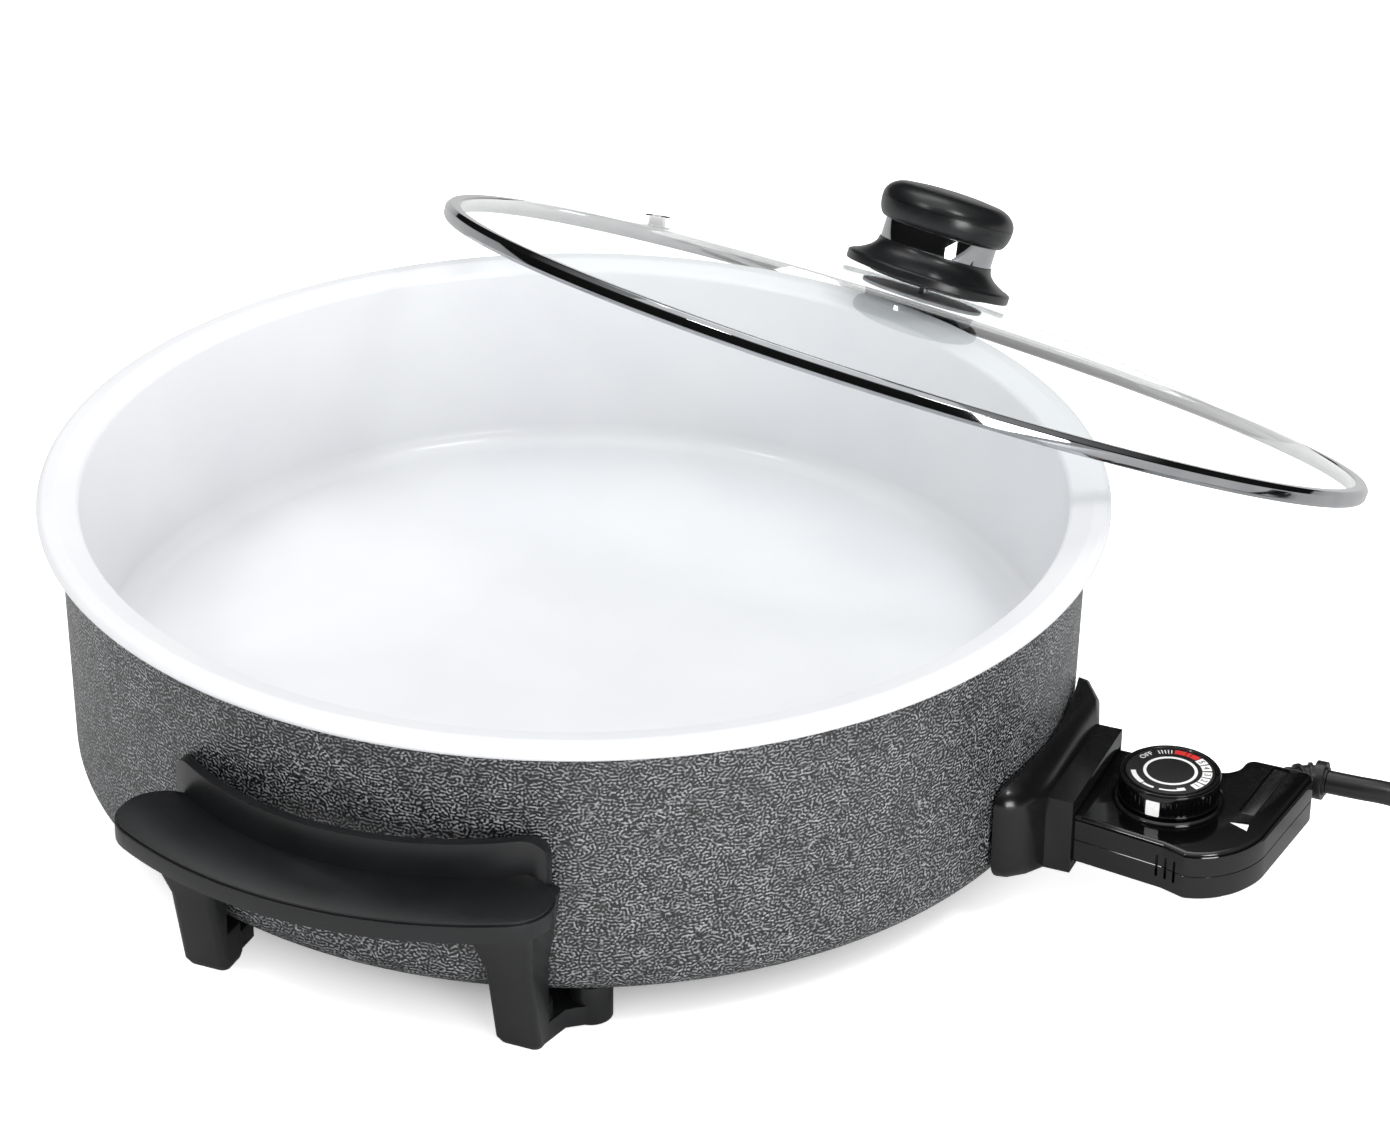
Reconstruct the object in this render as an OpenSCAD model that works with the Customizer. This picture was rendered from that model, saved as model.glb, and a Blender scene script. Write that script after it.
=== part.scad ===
// Electric skillet: a ceramic-coated pan hung in a painted casing, two side handles with legs,
// a plug-in thermostat probe with its mains lead, and a loose glass lid.
// Origin on the table under the pan's axis, +Z up, thermostat towards -Y, handles on -X and +X.

/* [Pan] */
// Outer diameter of the pan's rim
rim_d = 420; // [410:1:430]
// Height of the rim's crest above the table
rim_h = 130; // [128:1:134]
// Radial width of the flat rim
rim_w = 16.4; // [15:0.2:18]
// Thickness of the rim
rim_t = 6; // [5:0.5:7]
// Depth of the pan from the rim's crest to the cooking floor
pan_depth = 82; // [76:1:84]
// Wall thickness of the pan
pan_wall = 3; // [2.5:0.5:3.5]
// Thickness of the pan's floor
floor_t = 4; // [3:0.5:5]
// Inside radius where the wall meets the floor
cove_r = 9; // [6:1:14]

/* [Casing] */
// Outer radius of the casing just under the rim
casing_r = 201.4; // [200:0.2:203]
// How much smaller the casing's radius is at the foot of its wall
casing_draft = 2.1; // [0:0.1:3]
// Height of the casing's underside above the table
casing_z = 16.5; // [15:0.5:18]
// Radius of the casing's bottom edge
casing_edge = 13; // [10:1:14]
// Sheet thickness of the casing
casing_t = 1.5; // [1:0.1:2]

/* [Handles] */
// Height of the grip plate's top above the table
grip_z = 77; // [72:1:80]
// Thickness of the grip plate
grip_t = 8; // [6:0.5:10]
// Distance from the pan's axis to the grip's outer edge
grip_reach = 248; // [240:1:252]
// Radius of the grip's outer edge
grip_arc = 165; // [150:5:180]
// Radius of the heat guard's outer face
guard_arc = 117.7; // [112:0.1:122]
// Distance from the pan's axis to the middle of the guard's outer face
guard_reach = 219; // [216:1:222]
// Thickness of the heat guard
guard_t = 4; // [3:0.5:5]
// Height of the guard's top above the table
guard_z = 91; // [86:1:94]
// Half width of the heat guard
guard_half = 75; // [70:1:78]
// Lateral place of each leg's middle
leg_l = 64.5; // [62:0.5:66]

/* [Socket] */
// Height of the thermostat's axis above the table
probe_z = 33.5; // [32:0.5:35]
// Distance from the pan's axis to the socket's mouth
mouth_y = 220; // [218:1:222]
// Half width of the socket's collar
collar_half = 30; // [30:0.5:32]
// Distance between the two terminal pins
pin_gap = 32; // [30:1:34]

/* [Thermostat] */
// Diameter of the dial
dial_d = 39.3; // [37:0.1:40]
// Height of the dial
dial_h = 10.4; // [10:0.2:13]
// Number of grip ribs round the dial
dial_ribs = 56; // [40:1:60]
// Diameter of the sensor rod
rod_d = 8; // [7:0.5:8]

/* [Lid] */
// Outer diameter of the lid's steel band
lid_d = 408; // [406:1:410]
// Height of the steel band
band_h = 7; // [7:0.5:8]
// Height of the glass dome above the band's lower edge
dome_h = 31.5; // [28:0.5:34]
// Height of the glass's outer face where the band grips it, above the band's lower edge
glass_edge_z = 6; // [5.8:0.1:6]
// Thickness of the glass
glass_t = 4; // [3.5:0.5:4]
// How far the loose lid lies to one side of the pan's axis
lid_shift = 205; // [205:1:206]
// Height of the loose lid's base centre above the rim, below it where negative
lid_rise = -21; // [-21:0.5:-20]
// Tilt of the loose lid
lid_tilt = 25.4; // [25.2:0.1:25.6]
// Direction in which the lid lies and tilts, from +X
lid_dir = -18.5; // [-20:0.5:-17]
// Height of the seated lid above the rim's crest
lid_seat = 3; // [3:0.1:4]
// How far the seated lid's axis lies from the pan's axis
seat_shift = 2; // [2:0.5:3]

/* [Mains lead] */
// Diameter of the lead
cord_d = 9.3; // [9:0.1:9.3]

/* [Hidden] */

rim_r = rim_d / 2;
rim_roll = rim_t / 2;
floor_z = rim_h - pan_depth;
pan_top_r = rim_r - rim_w;
pan_bot_r = pan_top_r - 3.6;
under_z = floor_z - floor_t;
flange_z = rim_h - rim_t;
plate_t = 3;
plate_r = 150;
tube_r = 3.5;
tube_z = under_z - plate_t - tube_r;
loop_r = 120;
pin_x = pin_gap / 2;
pin_r = 2.4;
post_x = 164.6;
post_y = 79.9;
post_r = 8.5;
wall_gap = 0.4;
shell_z = probe_z - 9.9;
shell_top = probe_z + 9.9;
front_y = mouth_y - 6;
dial_x = -1;
dial_y = -249;
dial_z = shell_top + 2.2;
lid_r = lid_d / 2;
glass_edge_r = lid_r - 4;
glass_rise = dome_h - glass_edge_z;
dome_r = (glass_edge_r * glass_edge_r + glass_rise * glass_rise) / (2 * glass_rise);
lid_knob_z = dome_h + 0.8;

// The loose lid and its seat are two places on one swing about a line under the pan
swing_dx = lid_shift - seat_shift;
swing_dz = lid_rise - lid_seat;
swing_k = 1 / (2 * tan(lid_tilt / 2));
swing_s = seat_shift + swing_dx / 2 + swing_dz * swing_k;
swing_z = rim_h + (lid_rise + lid_seat) / 2 - swing_dx * swing_k;

relief_x = 41;
relief_y = -295;
relief_bend = 11;
coil_x = 121;
coil_y = -384;
coil_in = 36.7;
coil_out = 60.6;
coil_h = 18.8;
plug_x = 190;
plug_y = -440;
plug_z = 18.5;
plug_r = 18.5;

// Route of the lead from the strain relief down to the coil
LEAD = [[52, -297.5, 33.5], [52.8, -309, 33.2], [55, -321, 32.2], [57.5, -333, 29.4],
    [60, -345, 24.4], [62, -357, 17.6], [63.6, -369, 10.6], [64.7, -381, 5.4], [65.4, -392, 4.8]];
// Route of the lead's end from the coil to the plug
TAIL = [[121, -439.9, 14.1], [138, -440, 14.3], [155, -440, 15.4], [172, -440, 17.2],
    [188, -440, 18.4], [191, -440, 18.5]];

function arc(cx, cy, r, from, to, n) =
    [for (i = [0:n]) let (a = from + (to - from) * i / n) [cx + r * cos(a), cy + r * sin(a)]];

// The same arc without its two end points
function arc_inside(cx, cy, r, from, to, n) =
    [for (i = [1:n - 1]) let (a = from + (to - from) * i / n) [cx + r * cos(a), cy + r * sin(a)]];

// Catmull-Rom point between b and c
function spline(a, b, c, d, t) =
    0.5 * (2 * b + (c - a) * t + (2 * a - 5 * b + 4 * c - d) * t * t
    + (3 * b - a - 3 * c + d) * t * t * t);
function route(p, steps) = [for (i = [0:len(p) - 2]) for (k = [0:steps - 1])
    spline(p[max(i - 1, 0)], p[i], p[i + 1], p[min(i + 2, len(p) - 1)], k / steps), p[len(p) - 1]];
function unit(v) = v / norm(v);

// Tube of radius r swept along the points of a route
module sweep(points, r, sides) {
    n = len(points);
    rings = [for (i = [0:n - 1])
        let (t = unit(points[min(i + 1, n - 1)] - points[max(i - 1, 0)]),
            u = unit(cross(t, [0, 0, 1])), v = cross(u, t))
        for (k = [0:sides - 1])
            let (a = 360 * (k + 0.5) / sides) points[i] + r * (cos(a) * u + sin(a) * v)];
    sides_of = [for (i = [0:n - 2]) for (k = [0:sides - 1]) let (j = (k + 1) % sides)
        [i * sides + k, i * sides + j, (i + 1) * sides + j, (i + 1) * sides + k]];
    first = [[for (k = [sides - 1:-1:0]) k]];
    last = [[for (k = [0:sides - 1]) (n - 1) * sides + k]];
    polyhedron(rings, concat(first, sides_of, last));
}

// Cylinder along Y from y0 down to y1
module rod_y(x, y0, y1, z, r) {
    translate([x, y0, z]) rotate([90, 0, 0]) cylinder(h = y0 - y1, r = r, $fn = 32);
}

// Flat bar with square ends between two heights of a 2D outline
module slab(z, h) {
    translate([0, 0, z]) linear_extrude(h) children();
}

module mirror_x() {
    children();
    mirror([1, 0, 0]) children();
}

module mirror_y() {
    children();
    mirror([0, 1, 0]) children();
}

// ---- Pan and casing ----

// Half section of the pan's inside, grown outwards by the wall
module bowl_section(grow, drop) {
    r = pan_bot_r + grow;
    c = cove_r + grow;
    z = floor_z - drop;
    polygon([[0, z], [r - c, z], [r, z + c], [pan_top_r + grow, rim_h - 3.6],
        [pan_top_r + grow, rim_h + 2], [0, rim_h + 2]]);
    translate([r - c, z + c]) circle(r = c, $fn = 48);
}

module pan() color("whitesmoke") rotate_extrude($fn = 128) {
    difference() {
        union() {
            intersection() {
                bowl_section(pan_wall, floor_t);
                square([rim_r, flange_z + 2]);
            }
            polygon([[pan_top_r, flange_z], [rim_r - rim_roll, flange_z], [rim_r - rim_roll, rim_h],
                [rim_r - 7, rim_h], [pan_top_r + 2, rim_h - 1.6], [pan_top_r, rim_h - 3.6]]);
            translate([rim_r - rim_roll, rim_h - rim_roll]) circle(r = rim_roll, $fn = 32);
            translate([pan_top_r + 2, rim_h - 3.6]) circle(r = 2, $fn = 32);
        }
        bowl_section(0, 0);
    }
}

// Half section of the casing, shrunk inwards by the sheet
module casing_section(shrink) {
    r = casing_r - casing_draft - shrink;
    c = casing_edge - shrink;
    z = casing_z + shrink;
    polygon([[0, z], [r - c, z], [r, z + c], [casing_r - shrink, flange_z + (shrink > 0 ? 1 : 0)],
        [0, flange_z + (shrink > 0 ? 1 : 0)]]);
    translate([r - c, z + c]) circle(r = c, $fn = 48);
}

module casing() color("dimgray") difference() {
    rotate_extrude($fn = 128) difference() {
        casing_section(0);
        casing_section(casing_t);
    }
    translate([-22.9, -206, probe_z - 9]) cube([45.8, 12, 18]);
    mirror_x() rod_y(25, -190, -206, probe_z, 1.55);
    handle_posts() cylinder(h = 20, r = 2.3, $fn = 32);
    stud_places() cylinder(h = 20, r = 2.3, $fn = 32);
}

module handle_posts() {
    for (sx = [-1, 1]) for (sy = [-1, 1]) translate([sx * post_x, sy * post_y, 0]) children();
}

module stud_places() {
    for (a = [90, 210, 330]) rotate(a) translate([70, 0, 0]) children();
}

module heat_plate() color("silver") slab(under_z - plate_t, plate_t) circle(r = plate_r, $fn = 96);

// Tubular element: one loop, with two cold ends that slope down to the terminal pins
module heating_element() color("gray") {
    start = asin(12.5 / loop_r);
    translate([0, 0, tube_z]) rotate(-90 + start) rotate_extrude(angle = 360 - 2 * start, $fn = 64)
        translate([loop_r, 0]) circle(r = tube_r, $fn = 16);
    mirror_x() cold_end(start);
}

module cold_end(start) {
    a = [loop_r * sin(start), -loop_r * cos(start), tube_z];
    b = [pin_x, -186, probe_z];
    d = b - a;
    translate(a) {
        sphere(r = tube_r, $fn = 32);
        rotate([0, acos(d[2] / norm(d)), atan2(d[1], d[0])])
            cylinder(h = norm(d), r = tube_r, $fn = 32);
    }
    rod_y(pin_x, -185, -188, probe_z, tube_r);
}

// Straps that hold the loop against the heat plate
module element_clips() color("silver") for (a = [30, 150, 270 + 30]) rotate(a)
    translate([loop_r, 0, 0]) difference() {
        translate([-9, -5, tube_z - tube_r - 1.2]) cube([18, 10, 2 * tube_r + 1.2]);
        translate([0, 6, tube_z]) rotate([90, 0, 0]) cylinder(h = 12, r = tube_r + 0.3, $fn = 32);
        translate([-tube_r - 0.3, -6, tube_z]) cube([2 * tube_r + 0.6, 12, tube_r + 1]);
    }

module terminal_pins() color("silver") mirror_x() {
    rod_y(pin_x, -188, -225, probe_z, pin_r);
    translate([pin_x, -225, probe_z]) sphere(r = pin_r, $fn = 32);
}

module pin_bushes() color("white") mirror_x() difference() {
    union() {
        rod_y(pin_x, -196, -209, probe_z, 5);
        rod_y(pin_x, -196, -200, probe_z, 6.5);
    }
    rod_y(pin_x, -195, -210, probe_z, pin_r);
}

module sensor_sleeve() color("silver") difference() {
    rod_y(0, -148, -209, probe_z, rod_d / 2 + 1.4);
    rod_y(0, -150, -210, probe_z, rod_d / 2 + 0.08);
}

// Saddle that ties the sleeve to the heat plate, so that it reads the pan's heat
module sleeve_saddle() color("silver") difference() {
    translate([-9, -149, probe_z - 2]) cube([18, 32, under_z - plate_t - probe_z + 2]);
    rod_y(0, -110, -160, probe_z, rod_d / 2 + 1.4);
    translate([-8.95 - pin_x, -150, tube_z - tube_r - 0.4]) cube([20, 35, 20]);
    translate([pin_x - 11.05, -150, tube_z - tube_r - 0.4]) cube([20, 35, 20]);
}

module pan_studs() color("silver") stud_places()
    translate([0, 0, casing_z - 6]) cylinder(h = under_z - plate_t - casing_z + 6, r = 2, $fn = 32);

module stud_nuts() color("silver") stud_places() difference() {
    union() {
        translate([0, 0, casing_z - 4.2]) cylinder(h = 3.2, r = 4.04, $fn = 6);
        translate([0, 0, casing_z - 1]) cylinder(h = 1, r = 6, $fn = 32);
    }
    translate([0, 0, casing_z - 5]) cylinder(h = 6, r = 2, $fn = 32);
}

// ---- Handles ----

// Outline of the grip plate seen from above, for a handle towards +X: two arcs, joined at each
// end by a round that runs smoothly into both
module grip_outline(inset) {
    turn = 28;
    outer_c = grip_reach - grip_arc;
    inner_c = guard_reach - guard_arc;
    r_in = guard_arc - guard_t + 0.5;
    between = outer_c - inner_c;
    sum = grip_arc + r_in;
    d = (sum * sum - between * between) / (2 * (sum + between * cos(turn)));
    a = outer_c + d * cos(turn);
    l = d * sin(turn);
    r_end = grip_arc - d - inset;
    back = atan2(l, a - inner_c);
    polygon(concat(arc(outer_c, 0, grip_arc - inset, -turn, turn, 28),
        arc_inside(a, l, r_end, turn, back + 180, 16), arc(inner_c, 0, r_in + inset, back, -back, 24),
        arc_inside(a, -l, r_end, -back - 180, -turn, 16)));
}

// Curved guard that stands between the hand and the hot wall
module guard() {
    c = guard_reach - guard_arc;
    corner = 9;
    base_z = grip_z - grip_t;
    intersection() {
        slab(base_z, guard_z - base_z) difference() {
            translate([c, 0]) circle(r = guard_arc, $fn = 128);
            translate([c, 0]) circle(r = guard_arc - guard_t, $fn = 128);
        }
        translate([150, 0, 0]) rotate([90, 0, 90]) linear_extrude(100) {
            translate([-guard_half, base_z]) square([2 * guard_half, guard_z - corner - base_z]);
            translate([corner - guard_half, base_z])
                square([2 * (guard_half - corner), guard_z - base_z]);
            mirror_x() translate([guard_half - corner, guard_z - corner])
                circle(r = corner, $fn = 32);
        }
    }
}

// Level slice of a leg with round corners: a0..a1 from the axis, l0..l1 to the side
module leg_slice(a0, a1, l0, l1, z) {
    r = 3;
    for (a = [a0 + r, a1 - r]) for (l = [l0 + r, l1 - r])
        translate([a, l, z]) cylinder(h = 0.5, r = r, $fn = 20);
}

module leg() {
    half = 9.2;
    hull() {
        leg_slice(181, 194.5, leg_l - half + 1, leg_l + half - 1, 0);
        leg_slice(181, 196.5, leg_l - half, leg_l + half, 3);
        leg_slice(184, 204, leg_l - half, leg_l + half, 36);
    }
    hull() {
        leg_slice(184, 204, leg_l - half, leg_l + half, 36);
        leg_slice(186, 213, leg_l - half - 2, leg_l + half + 2, 60);
        leg_slice(188, 217, leg_l - half - 7, leg_l + half + 6, grip_z - grip_t);
    }
}

// Web that runs inwards under the casing from a leg to its screw post
module web() {
    slab(1, 8) polygon([[192, leg_l - 7], [192, leg_l + 8.5], [178, 76], [170, post_y + 6],
        [160, post_y - 3], [161, leg_l + 1], [170, leg_l - 7]]);
    translate([post_x, post_y, 0.6]) cylinder(h = casing_z - 0.6, r = post_r, $fn = 48);
}

module handle() difference() {
    union() {
        slab(grip_z - grip_t, grip_t - 1.2) grip_outline(0);
        slab(grip_z - 1.2, 1.2) grip_outline(1);
        guard();
        mirror_y() {
            leg();
            web();
        }
    }
    translate([0, 0, casing_z + 0.01]) cylinder(h = 100, r = casing_r + wall_gap, $fn = 128);
    mirror_y() translate([post_x, post_y, 0]) {
        cylinder(h = 7, r = 4.2, $fn = 32);
        cylinder(h = 20, r = 2.3, $fn = 32);
    }
}

module handle_right() color("#1c1c1c") handle();
module handle_left() color("#1c1c1c") rotate(180) handle();

module handle_screws() color("silver") handle_posts() {
    translate([0, 0, 7]) cylinder(h = casing_z - 1.5, r = 2, $fn = 32);
    difference() {
        translate([0, 0, 4.4]) cylinder(h = 2.6, r = 3.8, $fn = 32);
        translate([-3, -0.5, 4]) cube([6, 1, 1.4]);
        translate([-0.5, -3, 4]) cube([1, 6, 1.4]);
    }
}

module handle_nuts() color("silver") handle_posts() difference() {
    translate([0, 0, casing_z + casing_t]) cylinder(h = 3.2, r = 3.9, $fn = 6);
    translate([0, 0, casing_z]) cylinder(h = 8, r = 2, $fn = 32);
}

// ---- Socket ----

// Upright slice of the shield with round corners, half width w, heights z0..z1, at distance y
module shield_slice(w, z0, z1, y, r) {
    for (x = [-w + r, w - r]) for (z = [z0 + r, z1 - r])
        translate([x, -y, z]) rotate([-90, 0, 0]) cylinder(h = 0.5, r = r, $fn = 24);
}

module socket_shield() color("#202020") difference() {
    union() {
        hull() {
            shield_slice(51, 19.5, 62, 190, 9);
            shield_slice(50, 20, 61, 200, 9);
            shield_slice(44, 20.5, 56.5, 206, 7);
            shield_slice(33.5, 19.5, 51.5, 209.5, 4);
        }
        translate([-collar_half, -mouth_y, probe_z - 14.2])
            cube([2 * collar_half, 20, 31.2]);
    }
    translate([0, 0, -1]) cylinder(h = 200, r = casing_r + 0.1, $fn = 128);
    translate([-28.5, -mouth_y - 1, shell_z - 0.5]) cube([57, 15, shell_top - shell_z + 1]);
    mirror_x() rod_y(pin_x, -195, -215, probe_z, 5);
    rod_y(0, -195, -215, probe_z, rod_d / 2 + 1.4);
    mirror_x() rod_y(25, -195, -215, probe_z, 1.6);
}

module socket_screws() color("silver") mirror_x() {
    rod_y(25, -196, -206, probe_z, 1.5);
    rod_y(25, -206, -207.8, probe_z, 2.6);
}

// ---- Lid ----

// Carries the lid's pieces from their seat on the rim to where the loose lid lies
module loose() {
    axis = [-sin(lid_dir), cos(lid_dir), 0];
    pivot = [swing_s * cos(lid_dir), swing_s * sin(lid_dir), swing_z];
    translate(pivot) rotate(a = lid_tilt, v = axis) translate(-pivot)
        translate([seat_shift * cos(lid_dir), seat_shift * sin(lid_dir), rim_h + lid_seat])
            rotate(lid_dir) children();
}

module lid_glass() color("lightcyan", 0.4) loose() difference() {
    rotate_extrude($fn = 128) difference() {
        intersection() {
            translate([0, dome_h - dome_r]) circle(r = dome_r, $fn = 720);
            translate([0, 2.2]) square([lid_r - 1.5, dome_h]);
        }
        translate([0, dome_h - dome_r]) circle(r = dome_r - glass_t, $fn = 720);
    }
    cylinder(h = 60, r = 4.2, $fn = 32);
    vent_place() cylinder(h = 20, r = 4, center = true, $fn = 32);
}

// Steel band folded round the edge of the glass
module lid_band() color("silver") loose() rotate_extrude($fn = 128) difference() {
    union() {
        translate([lid_r - 6.5, 1]) square([6.5, band_h - 2]);
        translate([lid_r - 5.5, 0]) square([4.5, band_h]);
        for (z = [1, band_h - 1]) for (r = [lid_r - 5.5, lid_r - 1])
            translate([r, z]) circle(r = 1, $fn = 24);
    }
    translate([0, dome_h - dome_r]) difference() {
        intersection() {
            circle(r = dome_r + 0.02, $fn = 720);
            translate([0, dome_r - dome_h + 2.18]) square([lid_r - 1.48, dome_h]);
        }
        circle(r = dome_r - glass_t - 0.02, $fn = 720);
    }
}

module vent_place() {
    r = 145;
    tilt = asin(r / dome_r);
    rotate(91) translate([0, 0, dome_h - dome_r]) rotate([0, tilt, 0])
        translate([0, 0, dome_r - glass_t / 2]) children();
}

module lid_vent() color("silver") loose() vent_place() difference() {
    union() {
        cylinder(h = glass_t, r = 3.9, center = true, $fn = 32);
        translate([0, 0, glass_t / 2 + 0.1]) cylinder(h = 0.9, r = 6, $fn = 32);
        translate([0, 0, -glass_t / 2 - 1]) cylinder(h = 0.9, r = 6, $fn = 32);
    }
    cylinder(h = 20, r = 2, center = true, $fn = 32);
}

module knob_gasket() color("#303030") loose() rotate_extrude($fn = 64) difference() {
    translate([4.2, dome_h - 1]) square([22.8, 1.8]);
    translate([0, dome_h - dome_r]) circle(r = dome_r + 0.1, $fn = 720);
}

module knob_washer() color("gainsboro") loose() difference() {
    translate([0, 0, dome_h - glass_t - 2.2]) cylinder(h = 1.6, r = 20, $fn = 64);
    cylinder(h = 60, r = 2.3, $fn = 32);
}

module knob_screw() color("silver") loose() {
    translate([0, 0, dome_h - glass_t - 4]) cylinder(h = 1.8, r = 4.5, $fn = 32);
    translate([0, 0, dome_h - glass_t - 2.4]) cylinder(h = 24, r = 2, $fn = 32);
}

// Flared foot of the knob
module knob_skirt() color("#1c1c1c") loose() translate([0, 0, lid_knob_z]) difference() {
    rotate_extrude($fn = 96) difference() {
        polygon(concat([[0, 0], [30.5, 0]], arc(31.5, 2, 2, -60, 70, 6),
            [for (i = [0:8]) let (t = i / 8) [32.2 - 9.7 * (1 - pow(1 - t, 2.4)), 3.9 + 9.6 * t]],
            [[0, 13.5]]));
        square([2, 40]);
    }
    translate([0, 0, -1]) cylinder(h = 7, r = 24, $fn = 64);
}

module knob_ring() color("silver") loose() translate([0, 0, lid_knob_z + 13.5]) difference() {
    cylinder(h = 9, r = 22.5, $fn = 64);
    translate([0, 0, -1]) cylinder(h = 11, r = 2, $fn = 32);
}

// Round cap of the knob with a shallow crown
module knob_cap() color("#1c1c1c") loose() translate([0, 0, lid_knob_z + 22.5]) difference() {
    rotate_extrude($fn = 96) polygon(concat([[0, 0], [22, 0]], arc(17.5, 9, 9, -45, 60, 12),
        [[18, 18.2], [13, 19.6], [7, 20.4], [0, 20.6]]));
    translate([0, 0, -3]) cylinder(h = 8, r = 2, $fn = 32);
}

// ---- Thermostat probe ----

// Outline of the probe's case seen from above: a square block with an arm turned to +X
module case_outline() {
    polygon(concat([[-27.8, -front_y], [-28.6, -224], [-34.2, -258], [-35.4, -266]],
        arc(-6, -266, 29.4, 188, 262, 8), [[31, -296]], arc(35, -290.5, 5.5, -90, 0, 5),
        arc(36.5, -272, 4.4, 0, 90, 4), [[30, -267.2], [25.5, -263.5], [25, -258],
        [27.8, -224], [27.8, -front_y]]));
}

module case_bosses(r) {
    for (p = [[-27, -262], [20, -257.5], [33, -289]]) translate([p[0], p[1], 0])
        cylinder(h = 60, r = r, $fn = 24);
}

module probe_openings() {
    mirror_x() rod_y(pin_x, -200, -218, probe_z, 3.2);
    rod_y(0, -200, -218, probe_z, rod_d / 2);
    rod_y(24.8, -200, -217, probe_z, 2.9);
    rod_y(-24.8, -200, -217, probe_z, 2.9);
    translate([30, -284, probe_z]) rotate([0, 90, 0]) cylinder(h = 20, r = 4.4, $fn = 32);
}

// Three narrow upright slots through the case's side, across the parting line
module side_slots() {
    for (i = [0:2]) translate([-40, -255.5 - 3.75 * i, probe_z - 4.8]) cube([9, 1.1, 9.6]);
}

module probe_top_shell() color("#101010") difference() {
    union() {
        slab(probe_z + 0.1, 7.8) case_outline();
        slab(probe_z + 7.9, 1) offset(delta = -0.5) case_outline();
        slab(probe_z + 8.9, 1) offset(delta = -1.6) case_outline();
        translate([dial_x, dial_y, shell_top - 1]) cylinder(h = 2.6, r = 21.4, $fn = 64);
    }
    difference() {
        slab(probe_z, 7.7) offset(delta = -2.2) case_outline();
        case_bosses(3.2);
    }
    probe_openings();
    intersection() {
        case_bosses(1.4);
        translate([-100, -350, 0]) cube([200, 200, probe_z + 6]);
    }
    translate([dial_x, dial_y, 30]) cylinder(h = 30, r = 3.3, $fn = 32);
    label_seat(0.05, 1.2);
    side_slots();
}

module probe_bottom_shell() color("#141414") difference() {
    union() {
        slab(shell_z + 1.2, 8.6) case_outline();
        slab(shell_z, 1.2) offset(delta = -1) case_outline();
    }
    difference() {
        slab(shell_z + 2.2, 20) offset(delta = -2.2) case_outline();
        case_bosses(3.2);
    }
    probe_openings();
    case_bosses(1.6);
    intersection() {
        case_bosses(2.8);
        translate([-100, -350, 0]) cube([200, 200, shell_z + 3]);
    }
    side_slots();
}

module shell_screws() color("silver") {
    intersection() {
        case_bosses(2.6);
        translate([-100, -350, shell_z + 1]) cube([200, 200, 2]);
    }
    intersection() {
        case_bosses(1.4);
        translate([-100, -350, shell_z + 3]) cube([200, 200, 12]);
    }
}

// Long rounded recess on the arm for the bare label plate
module label_seat(grow, h) {
    translate([18, -280.5, shell_top - h]) rotate(-4)
        linear_extrude(h + 1) square([31 + 2 * grow, 10 + 2 * grow], center = true);
}

module label_plate() color("#181818") intersection() {
    label_seat(0, 1.2);
    translate([-100, -400, 0]) cube([300, 300, shell_top - 0.3]);
}

module sensor_rod() color("silver") {
    rod_y(0, -164, -222, probe_z, rod_d / 2);
    translate([0, -164, probe_z]) sphere(r = rod_d / 2, $fn = 32);
    rod_y(0, -218, -221, probe_z, 6);
}

module contact_sleeves() color("goldenrod") mirror_x() difference() {
    rod_y(pin_x, -217, -238, probe_z, 3.8);
    rod_y(pin_x, -216, -232, probe_z, pin_r + 0.08);
}

module sleeve_carrier() color("ivory") mirror_x() difference() {
    translate([pin_x - 6, -236, probe_z - 5.5]) cube([12, 9, 11]);
    rod_y(pin_x, -226, -237, probe_z, 3.8);
}

module thermostat_frame() color("silver") difference() {
    union() {
        translate([-8, -262, shell_z + 2.4]) cube([16, 40, 1.2]);
        translate([-8, -223.2, shell_z + 2.4]) cube([16, 1.2, 12]);
    }
    rod_y(0, -220, -226, probe_z, rod_d / 2 + 0.05);
}

module bimetal_strip() color("peru")
    translate([-4, -259, probe_z - 4.2]) cube([8, 35.5, 0.8]);

module contact_blade() color("goldenrod") {
    translate([-3, -259, probe_z - 0.6]) cube([6, 30, 0.5]);
    translate([0, -240, probe_z - 2]) cylinder(h = 1.4, r = 1.6, $fn = 32);
}

module switch_spacers() color("ivory") {
    translate([0, -256, shell_z + 3.6]) cylinder(h = probe_z - 4.2 - shell_z - 3.6, r = 3.5, $fn = 32);
    translate([0, -256, probe_z - 3.4]) cylinder(h = 2.8, r = 3.5, $fn = 32);
}

module cord_clamp() color("ivory") difference() {
    translate([21, -291, shell_z + 2.2]) cube([8, 14, 11]);
    translate([20, -284, probe_z]) rotate([0, 90, 0]) cylinder(h = 10, r = 3.2, $fn = 32);
}

module clamp_screws() color("silver") for (y = [-289.2, -278.8])
    translate([25, y, probe_z + 3.3]) cylinder(h = 1.6, r = 1.6, $fn = 32);

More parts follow.
